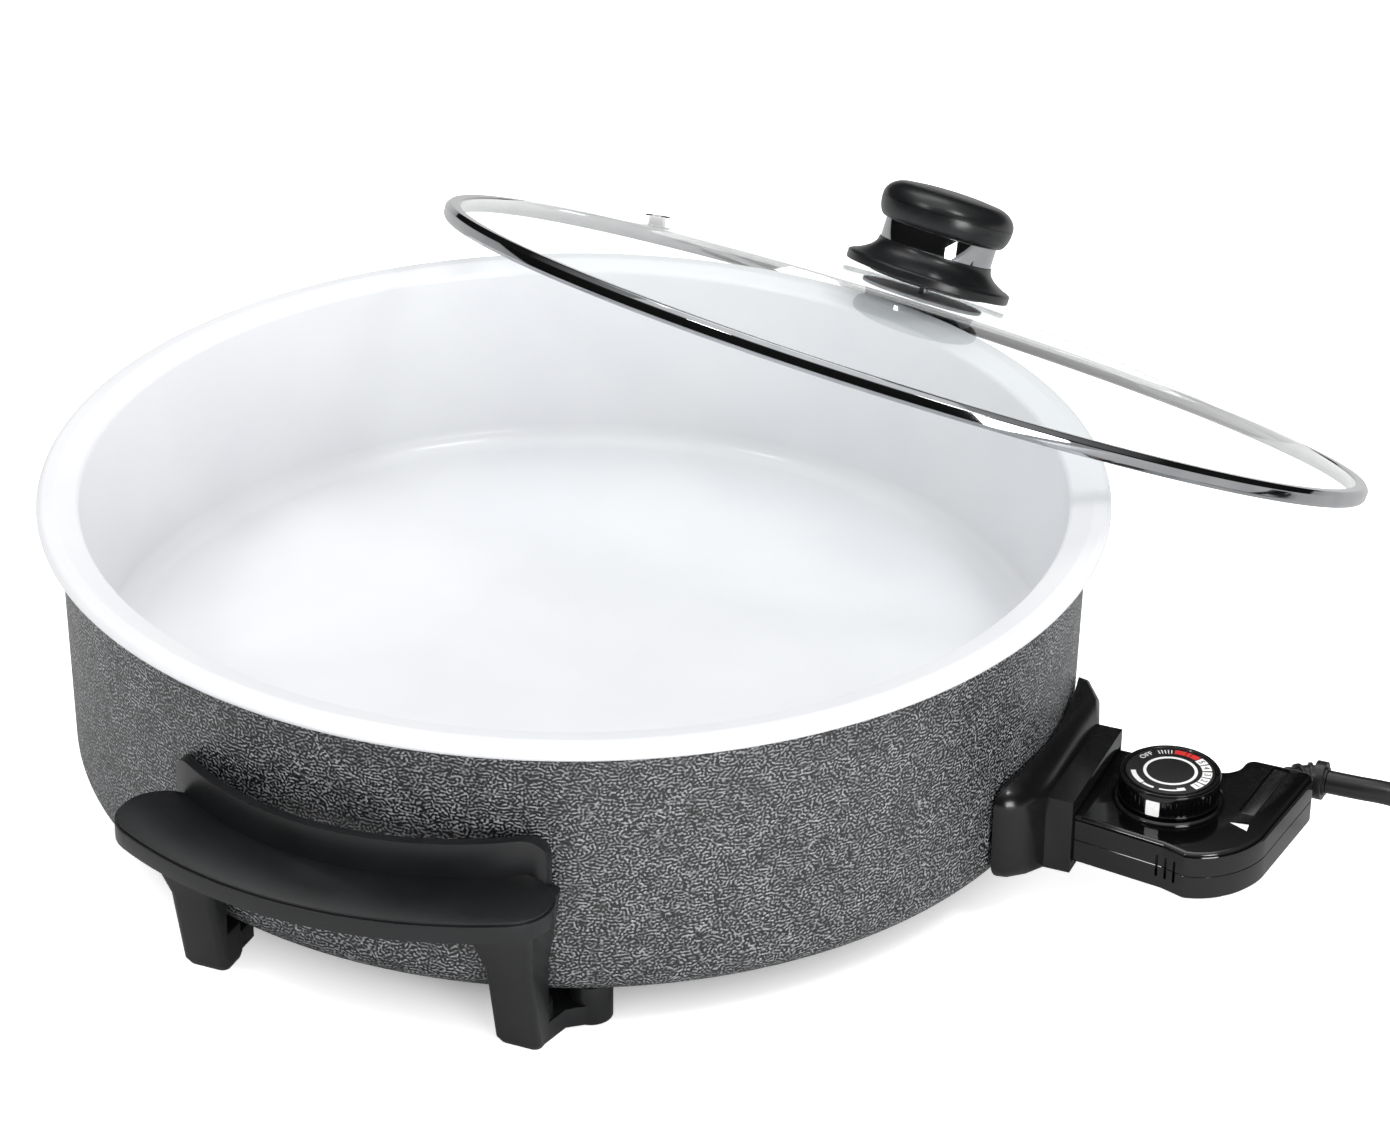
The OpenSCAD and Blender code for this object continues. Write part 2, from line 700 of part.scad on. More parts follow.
// Rubber elbow that turns the lead from the arm towards -Y, with ribs and an end collar
module strain_relief() color("#181818") {
    translate([36, -284, probe_z]) rotate([0, 90, 0]) cylinder(h = relief_x - 36, r = 4.3, $fn = 32);
    translate([relief_x - 0.01, -284, probe_z]) rotate([0, 90, 0]) cylinder(h = 1.5, r = 7, $fn = 32);
    translate([relief_x, relief_y, probe_z]) {
        rotate_extrude(angle = 90, $fn = 64) translate([relief_bend, 0]) circle(r = 5.6, $fn = 32);
        for (a = [22.5:22.5:67.5]) rotate(a) translate([relief_bend, 0, 0]) rotate([90, 0, 0])
            cylinder(h = 1.4, r = 6.6, center = true, $fn = 32);
        translate([relief_bend, 0, 0]) rotate([90, 0, 0]) cylinder(h = 2.5, r = 5.6, $fn = 32);
        translate([relief_bend, 2.5, 0]) rotate([90, 0, 0]) cylinder(h = 4, r = 7.6, $fn = 32);
    }
}

// ---- Dial ----

module dial_knob() color("#101010") translate([dial_x, dial_y, dial_z]) difference() {
    union() {
        linear_extrude(dial_h - 3) polygon([for (i = [0:dial_ribs * 2 - 1])
            let (a = 180 * i / dial_ribs, r = dial_d / 2 - (i % 2 == 0 ? 0 : 0.7))
            [r * cos(a), r * sin(a)]]);
        translate([0, 0, dial_h - 3]) cylinder(h = 2, r = dial_d / 2 - 0.2, $fn = 64);
        translate([0, 0, dial_h - 1]) cylinder(h = 1, r = dial_d / 2 - 0.9, $fn = 64);
    }
    translate([0, 0, dial_h - 0.6]) cylinder(h = 2, r = dial_d / 2 - 2.6, $fn = 64);
    translate([0, 0, -1]) cylinder(h = dial_h - 3, r = dial_d / 2 - 3, $fn = 64);
}

module dial_cap() color("#0c0c0c") translate([dial_x, dial_y, dial_z + dial_h - 0.6])
    cylinder(h = 0.5, r = dial_d / 2 - 2.7, $fn = 64);

module dial_shaft() color("silver") translate([dial_x, dial_y, 0]) {
    translate([0, 0, probe_z + 0.3]) cylinder(h = dial_z + dial_h - 4 - probe_z - 0.3, r = 3, $fn = 32);
    translate([0, 0, probe_z + 2]) cylinder(h = 1.5, r = 5, $fn = 32);
}

// ---- Mains lead ----

module cord_lead() color("#161616") sweep(route(LEAD, 2), cord_d / 2, 10);

module cord_coil() color("#161616") translate([coil_x, coil_y, 0]) rotate_extrude($fn = 64)
    translate([coil_in, 0]) square([coil_out - coil_in, coil_h]);

module cord_tail() color("#161616") sweep(route(TAIL, 2), cord_d / 2, 10);

module cord_tie() color("#101010") translate([coil_x, coil_y, 0]) rotate(60) difference() {
    translate([coil_in - 1.5, -3, 0]) cube([coil_out - coil_in + 3, 6, coil_h + 1.5]);
    translate([coil_in - 0.4, -4, -1]) cube([coil_out - coil_in + 0.6, 8, coil_h + 1]);
}

// Two-pin mains plug with side earth strips, lying on its side along +X
module along_plug() translate([plug_x, plug_y, plug_z]) rotate([-90, 0, -90]) children();

module plug_body() color("#161616") along_plug() difference() {
    union() {
        rotate_extrude($fn = 64) polygon([[0, 0], [7, 0], [8, 6], [13, 14], [16.5, 19],
            [plug_r, 24], [plug_r, 40], [0, 40]]);
    }
    for (s = [-1, 1]) translate([s * 19, 0, 32]) cube([6, 9, 20], center = true);
}

module plug_pins() color("silver") along_plug() for (s = [-1, 1]) translate([0, s * 9.5, 40]) {
    cylinder(h = 17, r = 2.4, $fn = 32);
    translate([0, 0, 17]) sphere(r = 2.4, $fn = 32);
}

module plug_earth_strips() color("silver") along_plug() for (s = [-1, 1])
    translate([s * 16.6, 0, 33]) cube([1.2, 6, 14], center = true);

pan();
casing();
heat_plate();
heating_element();
element_clips();
terminal_pins();
pin_bushes();
sensor_sleeve();
sleeve_saddle();
pan_studs();
stud_nuts();
handle_left();
handle_right();
handle_screws();
handle_nuts();
socket_shield();
socket_screws();
lid_glass();
lid_band();
lid_vent();
knob_gasket();
knob_washer();
knob_screw();
knob_skirt();
knob_ring();
knob_cap();
probe_top_shell();
probe_bottom_shell();
shell_screws();
label_plate();
sensor_rod();
contact_sleeves();
sleeve_carrier();
thermostat_frame();
bimetal_strip();
contact_blade();
switch_spacers();
cord_clamp();
clamp_screws();
strain_relief();
dial_knob();
dial_cap();
dial_shaft();
cord_lead();
cord_coil();
cord_tail();
cord_tie();
plug_body();
plug_pins();
plug_earth_strips();
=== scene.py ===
"""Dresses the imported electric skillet: camera, light, mains lead, and every visible piece."""

import logging
import math
from dataclasses import dataclass, field
from enum import Enum

import bmesh
import bpy
from mathutils import Matrix, Vector


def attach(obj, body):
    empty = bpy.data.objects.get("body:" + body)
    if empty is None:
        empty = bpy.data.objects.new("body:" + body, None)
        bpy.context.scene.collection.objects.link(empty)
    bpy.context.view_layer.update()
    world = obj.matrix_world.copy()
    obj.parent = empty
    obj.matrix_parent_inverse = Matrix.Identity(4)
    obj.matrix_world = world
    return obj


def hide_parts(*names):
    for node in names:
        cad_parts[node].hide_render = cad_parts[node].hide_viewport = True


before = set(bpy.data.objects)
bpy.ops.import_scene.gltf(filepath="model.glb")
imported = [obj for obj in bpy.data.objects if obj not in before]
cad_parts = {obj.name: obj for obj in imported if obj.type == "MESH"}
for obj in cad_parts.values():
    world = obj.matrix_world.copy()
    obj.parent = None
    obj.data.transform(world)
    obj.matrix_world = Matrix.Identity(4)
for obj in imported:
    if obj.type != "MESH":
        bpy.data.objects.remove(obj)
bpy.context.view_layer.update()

MM = 0.001
log = logging.getLogger("skillet")

Point2 = tuple[float, float]
Point3 = tuple[float, float, float]


class Body(Enum):
    """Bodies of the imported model."""

    BASE = "base"
    LID = "lid"
    PROBE = "probe"
    DIAL = "dial"


class Shade(Enum):
    """How a mesh's faces are shaded, as the angle in degrees past which an edge stays sharp."""

    CREASED = 32
    ROUND = 60


# ---- Colour and node helpers ----


def linear(code: str) -> tuple[float, float, float, float]:
    """Turns an sRGB hex colour into the linear values that a shader socket takes.

    Args:
        code: Colour as "#RRGGBB".

    Returns:
        Red, green, blue and an alpha of 1, in linear light.
    """
    values = [int(code[i : i + 2], 16) / 255 for i in (1, 3, 5)]
    red, green, blue = [v / 12.92 if v <= 0.04045 else ((v + 0.055) / 1.055) ** 2.4 for v in values]
    return red, green, blue, 1.0


def add_node(
    tree: bpy.types.NodeTree,
    kind: str,
    settings: dict[str, object] | None = None,
    values: dict[str | int, object] | None = None,
    links: dict[str | int, bpy.types.NodeSocket] | None = None,
) -> bpy.types.Node:
    """Adds one node with its settings, its unlinked values and its links.

    Args:
        tree: Node tree that gets the node.
        kind: Blender's name of the node type.
        settings: Properties of the node itself.
        values: Values of its input sockets.
        links: Sockets that feed its inputs.

    Returns:
        The new node.
    """
    node = tree.nodes.new(kind)
    for key, value in (settings or {}).items():
        setattr(node, key, value)
    for key, value in (values or {}).items():
        node.inputs[key].default_value = value
    for key, socket in (links or {}).items():
        tree.links.new(socket, node.inputs[key])
    return node


# ---- Finishes ----


@dataclass(frozen=True)
class Finish:
    """What a surface is made of and how it was made."""

    name: str
    slot: str

    def material(self) -> bpy.types.Material:
        """Returns the finish's material, made on first use."""
        made = bpy.data.materials.get(self.name)
        if made is None:
            made = bpy.data.materials.new(self.name)
            made.use_nodes = True
            made.node_tree.nodes.clear()
            shader = self.shade(made.node_tree)
            add_node(made.node_tree, "ShaderNodeOutputMaterial", links={"Surface": shader})
        return made

    def shade(self, tree: bpy.types.NodeTree) -> bpy.types.NodeSocket:
        """Builds the finish's nodes and returns the shader socket."""
        raise NotImplementedError

    @staticmethod
    def place(tree: bpy.types.NodeTree) -> bpy.types.NodeSocket:
        """Returns the socket with the piece's own coordinates, in metres."""
        return add_node(tree, "ShaderNodeTexCoord").outputs["Object"]

    @staticmethod
    def noise(tree: bpy.types.NodeTree, size_mm: float, detail: float = 2.0) -> bpy.types.NodeSocket:
        """Returns a noise whose blotches have a real size.

        Args:
            tree: Node tree that gets the nodes.
            size_mm: Width of one blotch.
            detail: Octaves of finer noise.
        """
        return add_node(
            tree,
            "ShaderNodeTexNoise",
            values={"Scale": 1 / (size_mm * MM), "Detail": detail},
            links={"Vector": Finish.place(tree)},
        ).outputs[0]

    @staticmethod
    def spread(
        tree: bpy.types.NodeTree, source: bpy.types.NodeSocket, low: float, high: float
    ) -> bpy.types.NodeSocket:
        """Maps the middle of a noise onto a range of values."""
        return add_node(
            tree,
            "ShaderNodeMapRange",
            values={"From Min": 0.3, "From Max": 0.7, "To Min": low, "To Max": high},
            links={"Value": source},
        ).outputs["Result"]

    @staticmethod
    def relief(
        tree: bpy.types.NodeTree, height: bpy.types.NodeSocket, depth_mm: float, strength: float = 1.0
    ) -> bpy.types.NodeSocket:
        """Turns a height from 0 to 1 into a bumped normal of a real depth."""
        return add_node(
            tree,
            "ShaderNodeBump",
            values={"Strength": strength, "Distance": depth_mm * MM},
            links={"Height": height},
        ).outputs["Normal"]

    @staticmethod
    def ramp(
        tree: bpy.types.NodeTree, source: bpy.types.NodeSocket, stops: list[tuple[float, str]]
    ) -> bpy.types.NodeSocket:
        """Colours a value by a ramp of sRGB stops."""
        node = add_node(tree, "ShaderNodeValToRGB", links={"Fac": source})
        ramp = node.color_ramp
        while len(ramp.elements) < len(stops):
            ramp.elements.new(0.5)
        for element, (at, code) in zip(ramp.elements, stops):
            element.position = at
            element.color = linear(code)
        return node.outputs["Color"]


@dataclass(frozen=True)
class SprayedCeramic(Finish):
    """Sol-gel ceramic sprayed on cast aluminium: white, with a satin gloss and a faint orange peel."""

    colour: str = "#DFE0E2"
    shade_colour: str = "#DBDCDF"
    peel_mm: float = 1.6
    mottle_mm: float = 60.0

    def shade(self, tree: bpy.types.NodeTree) -> bpy.types.NodeSocket:
        """Builds the finish's nodes and returns the shader socket."""
        mottle = self.noise(tree, self.mottle_mm)
        tint = self.ramp(tree, mottle, [(0.35, self.shade_colour), (0.65, self.colour)])
        peel = self.noise(tree, self.peel_mm, 1.0)
        return add_node(
            tree,
            "ShaderNodeBsdfPrincipled",
            values={"IOR": 1.5, "Coat Weight": 0.25, "Coat Roughness": 0.12},
            links={
                "Base Color": tint,
                "Roughness": self.spread(tree, peel, 0.3, 0.36),
                "Normal": self.relief(tree, peel, 0.012),
            },
        ).outputs["BSDF"]


@dataclass(frozen=True)
class VermicularPaint(Finish):
    """Stoved texture paint on sheet metal, which dries into short raised worm-like veins."""

    ground: str = "#0C0D0E"
    vein: str = "#9C9EA1"
    period_mm: float = 1.4
    height_mm: float = 0.16

    def shade(self, tree: bpy.types.NodeTree) -> bpy.types.NodeSocket:
        """Builds the finish's nodes and returns the shader socket."""
        stripes = 2.0
        worms = add_node(
            tree,
            "ShaderNodeTexGabor",
            settings={"gabor_type": "3D"},
            values={"Scale": 1 / (stripes * self.period_mm * MM), "Frequency": stripes, "Anisotropy": 0.0},
            links={"Vector": self.place(tree)},
        ).outputs["Value"]
        crest = add_node(
            tree,
            "ShaderNodeMapRange",
            settings={"interpolation_type": "SMOOTHSTEP"},
            values={"From Min": 0.44, "From Max": 0.7, "To Min": 0.0, "To Max": 1.0},
            links={"Value": worms},
        ).outputs["Result"]
        patchy = self.spread(tree, self.noise(tree, 9.0), 0.55, 1.0)
        veins = add_node(
            tree, "ShaderNodeMath", settings={"operation": "MULTIPLY"}, links={0: crest, 1: patchy}
        ).outputs["Value"]
        return add_node(
            tree,
            "ShaderNodeBsdfPrincipled",
            values={"IOR": 1.5, "Specular IOR Level": 0.9},
            links={
                "Base Color": self.ramp(tree, veins, [(0.0, self.ground), (1.0, self.vein)]),
                "Roughness": self.spread(tree, veins, 0.4, 0.24),
                "Normal": self.relief(tree, crest, self.height_mm),
            },
        ).outputs["BSDF"]


@dataclass(frozen=True)
class MouldedPlastic(Finish):
    """Moulded black plastic, with the fine grain that its tool leaves and faint flow marks."""

    colour: str = "#1B1C1D"
    worn: str = "#222324"
    rough: float = 0.4
    gloss: float = 0.5
    grain_mm: float = 0.5
    grain_depth_mm: float = 0.004
    flow_mm: float = 25.0

    def shade(self, tree: bpy.types.NodeTree) -> bpy.types.NodeSocket:
        """Builds the finish's nodes and returns the shader socket."""
        flow = self.noise(tree, self.flow_mm, 3.0)
        grain = self.noise(tree, self.grain_mm, 1.0)
        return add_node(
            tree,
            "ShaderNodeBsdfPrincipled",
            values={"IOR": 1.52, "Specular IOR Level": self.gloss},
            links={
                "Base Color": self.ramp(tree, flow, [(0.35, self.colour), (0.7, self.worn)]),
                "Roughness": self.spread(tree, flow, self.rough * 0.92, self.rough * 1.08),
                "Normal": self.relief(tree, grain, self.grain_depth_mm),
            },
        ).outputs["BSDF"]


@dataclass(frozen=True)
class WorkedMetal(Finish):
    """Metal as it is after polishing, plating or rolling, with fine scratches in its gloss."""

    colour: str = "#C9CACC"
    deep: str = "#C0C1C3"
    rough: float = 0.08
    scratch_mm: float = 0.3
    scratch_depth_mm: float = 0.0005

    def shade(self, tree: bpy.types.NodeTree) -> bpy.types.NodeSocket:
        """Builds the finish's nodes and returns the shader socket."""
        clouds = self.noise(tree, 12.0, 3.0)
        fine = self.noise(tree, self.scratch_mm, 1.0)
        return add_node(
            tree,
            "ShaderNodeBsdfPrincipled",
            values={"Metallic": 1.0},
            links={
                "Base Color": self.ramp(tree, clouds, [(0.35, self.deep), (0.65, self.colour)]),
                "Roughness": self.spread(tree, fine, self.rough * 0.8, self.rough * 1.2),
                "Normal": self.relief(tree, fine, self.scratch_depth_mm),
            },
        ).outputs["BSDF"]


@dataclass(frozen=True)
class ToughenedGlass(Finish):
    """Pressed soda-lime glass: clear, very slightly grey, with a faint gloss that grows at a slant."""

    tint: str = "#FCFDFD"
    sheen: float = 0.7
    ior: float = 1.45
    sag_mm: float = 45.0
    sag_depth_mm: float = 0.02

    def shade(self, tree: bpy.types.NodeTree) -> bpy.types.NodeSocket:
        """Builds the finish's nodes and returns the shader socket."""
        sag = self.relief(tree, self.noise(tree, self.sag_mm, 0.0), self.sag_depth_mm)
        clear = add_node(
            tree, "ShaderNodeBsdfTransparent", values={"Color": linear(self.tint)}
        ).outputs["BSDF"]
        mirror = add_node(
            tree,
            "ShaderNodeBsdfPrincipled",
            values={"Base Color": linear("#FFFFFF"), "Metallic": 1.0, "Roughness": 0.0},
            links={"Normal": sag},
        ).outputs["BSDF"]
        slant = add_node(
            tree, "ShaderNodeFresnel", values={"IOR": self.ior}, links={"Normal": sag}
        ).outputs["Fac"]
        leaving = add_node(tree, "ShaderNodeNewGeometry").outputs["Backfacing"]
        entering = add_node(
            tree,
            "ShaderNodeMath",
            settings={"operation": "SUBTRACT"},
            values={0: self.sheen},
            links={1: leaving},
        ).outputs["Value"]
        share = add_node(
            tree, "ShaderNodeMath", settings={"operation": "MULTIPLY", "use_clamp": True},
            links={0: slant, 1: entering},
        ).outputs["Value"]
        return add_node(tree, "ShaderNodeMixShader", links={0: share, 1: clear, 2: mirror}).outputs["Shader"]


@dataclass(frozen=True)
class SoftSilicone(Finish):
    """Moulded translucent silicone: milky, soft in the light."""

    colour: str = "#D4D7D9"

    def shade(self, tree: bpy.types.NodeTree) -> bpy.types.NodeSocket:
        """Builds the finish's nodes and returns the shader socket."""
        cloud = self.noise(tree, 8.0)
        return add_node(
            tree,
            "ShaderNodeBsdfPrincipled",
            values={
                "IOR": 1.41,
                "Subsurface Weight": 0.3,
                "Subsurface Scale": 0.003,
                "Transmission Weight": 0.35,
            },
            links={
                "Base Color": self.ramp(tree, cloud, [(0.35, "#C8CBCD"), (0.65, self.colour)]),
                "Roughness": self.spread(tree, cloud, 0.35, 0.45),
            },
        ).outputs["BSDF"]


@dataclass(frozen=True)
class PadPrint(Finish):
    """Pad-printed ink: an even colour with a slightly rough, slightly uneven film."""

    colour: str = "#F2F2F0"
    thin: str = "#E4E4E2"

    def shade(self, tree: bpy.types.NodeTree) -> bpy.types.NodeSocket:
        """Builds the finish's nodes and returns the shader socket."""
        film = self.noise(tree, 0.8)
        return add_node(
            tree,
            "ShaderNodeBsdfPrincipled",
            values={"IOR": 1.48},
            links={
                "Base Color": self.ramp(tree, film, [(0.3, self.thin), (0.7, self.colour)]),
                "Roughness": self.spread(tree, film, 0.35, 0.5),
            },
        ).outputs["BSDF"]


CERAMIC = SprayedCeramic("white_ceramic_coating", "ceramic_coating")
PAINT = VermicularPaint("vermicular_stove_paint", "hammered_paint")
BAKELITE = MouldedPlastic(
    "black_bakelite", "bakelite", colour="#131415", worn="#17181A", rough=0.3, gloss=0.5
)
PHENOLIC = MouldedPlastic(
    "black_phenolic_moulding", "bakelite", colour="#0D0D0E", worn="#111112", rough=0.24, gloss=0.5
)
GLOSS_ABS = MouldedPlastic(
    "polished_black_abs", "gloss_black", colour="#060607", worn="#080809", rough=0.1, gloss=0.6,
    grain_mm=2.5, grain_depth_mm=0.002,
)
FACE_ABS = MouldedPlastic(
    "satin_dial_face", "dial_print", colour="#19191A", worn="#1D1D1E", rough=0.3, grain_mm=0.4
)
PLATE_ABS = MouldedPlastic("bare_label_plate", "label_gloss", colour="#151516", worn="#19191A", rough=0.24)
LEAD_PVC = MouldedPlastic(
    "black_lead_sheath", "lead_rubber", colour="#141415", worn="#19191A", rough=0.34, grain_mm=0.8
)
SEAL_RUBBER = MouldedPlastic("dark_seal_rubber", "lead_rubber", colour="#3A3D40", worn="#43464A", rough=0.45)
CHROME = WorkedMetal(
    "polished_stainless_steel", "polished_steel", colour="#B4B6B8", deep="#ABADB0", rough=0.05
)
ZINC = WorkedMetal("zinc_plated_steel", "zinc_steel", colour="#B4B6B8", deep="#A2A5A9", rough=0.34)
ALUMINIUM = WorkedMetal("rolled_aluminium", "bare_aluminium", colour="#CDCED0", deep="#BFC1C3", rough=0.38)
BRASS = WorkedMetal("stamped_brass", "contact_brass", colour="#D6B066", deep="#C39C52", rough=0.3)
BIMETAL = WorkedMetal("rolled_bimetal", "bimetal", colour="#A48D77", deep="#937C68", rough=0.36)
STEATITE = MouldedPlastic(
    "unglazed_steatite", "white_ceramic", colour="#D9D4C8", worn="#E2DDD2", rough=0.62, grain_depth_mm=0.01
)
GLASS = ToughenedGlass("clear_toughened_glass", "clear_glass")
SILICONE = SoftSilicone("milky_silicone", "clear_silicone")
WHITE_INK = PadPrint("white_pad_print", "dial_print")
RED_INK = PadPrint("red_pad_print", "dial_print", colour="#D9231C", thin="#C61D17")


# ---- Mesh helpers ----


def rotation(degrees: float, axis: str | Vector) -> Matrix:
    """Returns a turn about an axis."""
    return Matrix.Rotation(math.radians(degrees), 4, axis)


class Mesher:
    """A mesh under construction, in millimetres until it becomes a piece."""

    def __init__(self) -> None:
        """Starts an empty mesh."""
        self.bm = bmesh.new()

    def outline(self, corners: list[Point3], plane: str = "rz") -> list[bmesh.types.BMVert]:
        """Adds one face from corners that each have a fillet radius.

        Args:
            corners: First coordinate, second coordinate and fillet radius of each corner.
            plane: "rz" stands the face up in X and Z, "xy" lays it flat.

        Returns:
            The face's vertices, in order.
        """
        made = [
            self.bm.verts.new((a, 0, b) if plane == "rz" else (a, b, 0)) for a, b, _ in corners
        ]
        self.bm.faces.new(made)
        count = len(made)
        reach = []
        for i, (_, _, fillet) in enumerate(corners):
            here, back, ahead = made[i].co, made[i - 1].co, made[(i + 1) % count].co
            half = (back - here).angle(ahead - here) / 2
            reach.append(fillet / math.tan(half) if fillet > 0 else 0.0)
        for vert, offset, (_, _, fillet) in zip(made, reach, corners):
            if offset > 1e-4:
                bmesh.ops.bevel(
                    self.bm, geom=[vert], offset=offset, offset_type="OFFSET", affect="VERTICES",
                    segments=5 if fillet < 1 else 16, profile=0.5, material=-1,
                )
        self.bm.faces.ensure_lookup_table()
        return list(self.bm.faces[-1].verts)

    def turn(self, corners: list[Point3], steps: int = 192) -> "Mesher":
        """Turns a filleted section in X and Z once round the Z axis.

        Args:
            corners: Radius, height and fillet radius of each corner of the section.
            steps: Facets of the full turn.
        """
        self.outline(corners)
        section = self.bm.faces[:]
        edges = [e for f in section for e in f.edges]
        bmesh.ops.delete(self.bm, geom=section, context="FACES_ONLY")
        bmesh.ops.spin(
            self.bm, geom=edges + self.bm.verts[:], cent=(0, 0, 0), axis=(0, 0, 1),
            angle=2 * math.pi, steps=steps, use_merge=True,
        )
        bmesh.ops.remove_doubles(self.bm, verts=self.bm.verts, dist=1e-4)
        return self

    def raise_outline(
        self, corners: list[Point3], low: float, high: float
    ) -> "Mesher":
        """Extrudes a flat filleted outline between two heights."""
        for vert in self.outline(corners, "xy"):
            vert.co.z = low
        return self.extrude((0, 0, high - low))

    def extrude(self, way: Point3) -> "Mesher":
        """Extrudes every face along a vector."""
        grown = bmesh.ops.extrude_face_region(self.bm, geom=self.bm.faces[:])["geom"]
        bmesh.ops.translate(self.bm, vec=way, verts=[v for v in grown if isinstance(v, bmesh.types.BMVert)])
        return self

    def raise_slot(self, width: float, height: float, depth: float) -> "Mesher":
        """Adds an upright slot cutter with round ends, which runs along X."""
        half, reach, round_end = width / 2, height / 2, width * 0.48
        corners = ((-half, -reach), (half, -reach), (half, reach), (-half, reach))
        self.outline([(x, z, round_end) for x, z in corners])
        self.extrude((0, depth, 0))
        return self.place(rotation(90, "Z") @ Matrix.Translation((0, -depth / 2, 0)))

    def soften(self, test, width: float, segments: int = 3) -> "Mesher":
        """Bevels the edges that pass a test.

        Args:
            test: Takes an edge and says whether it is bevelled.
            width: Width of the bevel.
            segments: Its facets.
        """
        bmesh.ops.bevel(
            self.bm, geom=[e for e in self.bm.edges if test(e)], offset=width, offset_type="OFFSET",
            affect="EDGES", segments=segments, profile=0.5, material=-1, clamp_overlap=True,
        )
        return self

    def place(self, matrix: Matrix) -> "Mesher":
        """Moves the whole mesh by a matrix in millimetres."""
        bmesh.ops.transform(self.bm, matrix=matrix, verts=self.bm.verts)
        return self

    def piece(self, name: str, shade: Shade = Shade.CREASED) -> bpy.types.Object:
        """Turns the mesh into an object in metres, with outward faces."""
        bmesh.ops.recalc_face_normals(self.bm, faces=self.bm.faces)
        bmesh.ops.scale(self.bm, vec=(MM, MM, MM), verts=self.bm.verts)
        mesh = bpy.data.meshes.new(name)
        self.bm.to_mesh(mesh)
        self.bm.free()
        return shown(name, mesh, shade)


def shown(name: str, mesh: bpy.types.Mesh, shade: Shade) -> bpy.types.Object:
    """Puts a mesh into the scene as an object at the origin, with its shading."""
    mesh.shade_smooth()
    mesh.set_sharp_from_angle(angle=math.radians(shade.value))
    piece = bpy.data.objects.new(name, mesh)
    bpy.context.scene.collection.objects.link(piece)
    return piece


def baked(piece: bpy.types.Object, shade: Shade) -> bpy.types.Object:
    """Applies a piece's modifiers to a new mesh of its own."""
    evaluated = piece.evaluated_get(bpy.context.evaluated_depsgraph_get())
    mesh = bpy.data.meshes.new_from_object(evaluated)
    piece.modifiers.clear()
    piece.data = mesh
    mesh.shade_smooth()
    mesh.set_sharp_from_angle(angle=math.radians(shade.value))
    return piece


def moulded_copy(
    node: str, name: str, width: float, crease: float = 28.0, shade: Shade = Shade.CREASED
) -> bpy.types.Object:
    """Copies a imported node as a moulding, with rounded outer edges and crisp inside corners.

    Args:
        node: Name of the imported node.
        name: Name of the new piece.
        width: Width of the rounds, in millimetres.
        crease: Angle in degrees past which an edge is hard.
        shade: How the new piece is shaded.

    Returns:
        The new piece.
    """
    bm = bmesh.new()
    bm.from_mesh(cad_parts[node].data)
    bmesh.ops.remove_doubles(bm, verts=bm.verts, dist=2e-6)
    bmesh.ops.dissolve_limit(bm, angle_limit=math.radians(0.5), verts=bm.verts, edges=bm.edges)
    bmesh.ops.recalc_face_normals(bm, faces=bm.faces)
    weight = bm.edges.layers.float.new("bevel_weight_edge")
    for edge in bm.edges:
        if edge.is_manifold and edge.calc_face_angle_signed() > math.radians(crease):
            edge[weight] = 1.0
    mesh = bpy.data.meshes.new(name)
    bm.to_mesh(mesh)
    bm.free()
    piece = shown(name, mesh, Shade.CREASED)
    rounding = piece.modifiers.new("rounding", "BEVEL")
    rounding.limit_method = "WEIGHT"
    rounding.width = width * MM
    rounding.segments = 3
    return baked(piece, shade)


def cut(piece: bpy.types.Object, cutters: list[bpy.types.Object], shade: Shade) -> bpy.types.Object:
    """Cuts pieces out of another and removes the cutters."""
    for cutter in cutters:
        knife = piece.modifiers.new("cut", "BOOLEAN")
        knife.operation = "DIFFERENCE"
        knife.solver = "EXACT"
        knife.object = cutter
    piece = baked(piece, shade)
    for cutter in cutters:
        bpy.data.objects.remove(cutter)
    return piece


def dress(
    piece: bpy.types.Object, finish: Finish, body: Body | None = None, replaces: tuple[str, ...] = ()
) -> bpy.types.Object:
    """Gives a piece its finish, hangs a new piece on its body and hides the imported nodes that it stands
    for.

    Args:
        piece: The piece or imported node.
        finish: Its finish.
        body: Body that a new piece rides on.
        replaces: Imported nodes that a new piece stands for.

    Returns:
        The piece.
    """
    piece.data.materials.clear()
    piece.data.materials.append(finish.material())
    if body is not None:
        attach(piece, body.value)
    if replaces:
        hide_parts(*replaces)
    log.info("%s: %s", piece.name, finish.name)
    return piece


def dress_nodes(finishes: dict[Finish, tuple[str, ...]]) -> None:
    """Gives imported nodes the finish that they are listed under."""
    for finish, names in finishes.items():
        for name in names:
            dress(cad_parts[name], finish)


def arc(cx: float, cy: float, radius: float, start: float, end: float, count: int) -> list[Point3]:
    """Returns points on an arc, each with no fillet.

    Args:
        cx: First coordinate of the centre.
        cy: Second coordinate of the centre.
        radius: Radius of the arc.
        start: Angle of the first point, in degrees.
        end: Angle of the last point, in degrees.
        count: Steps between them.
    """
    angles = [math.radians(start + (end - start) * i / count) for i in range(count + 1)]
    return [(cx + radius * math.cos(a), cy + radius * math.sin(a), 0.0) for a in angles]


# ---- Stage ----


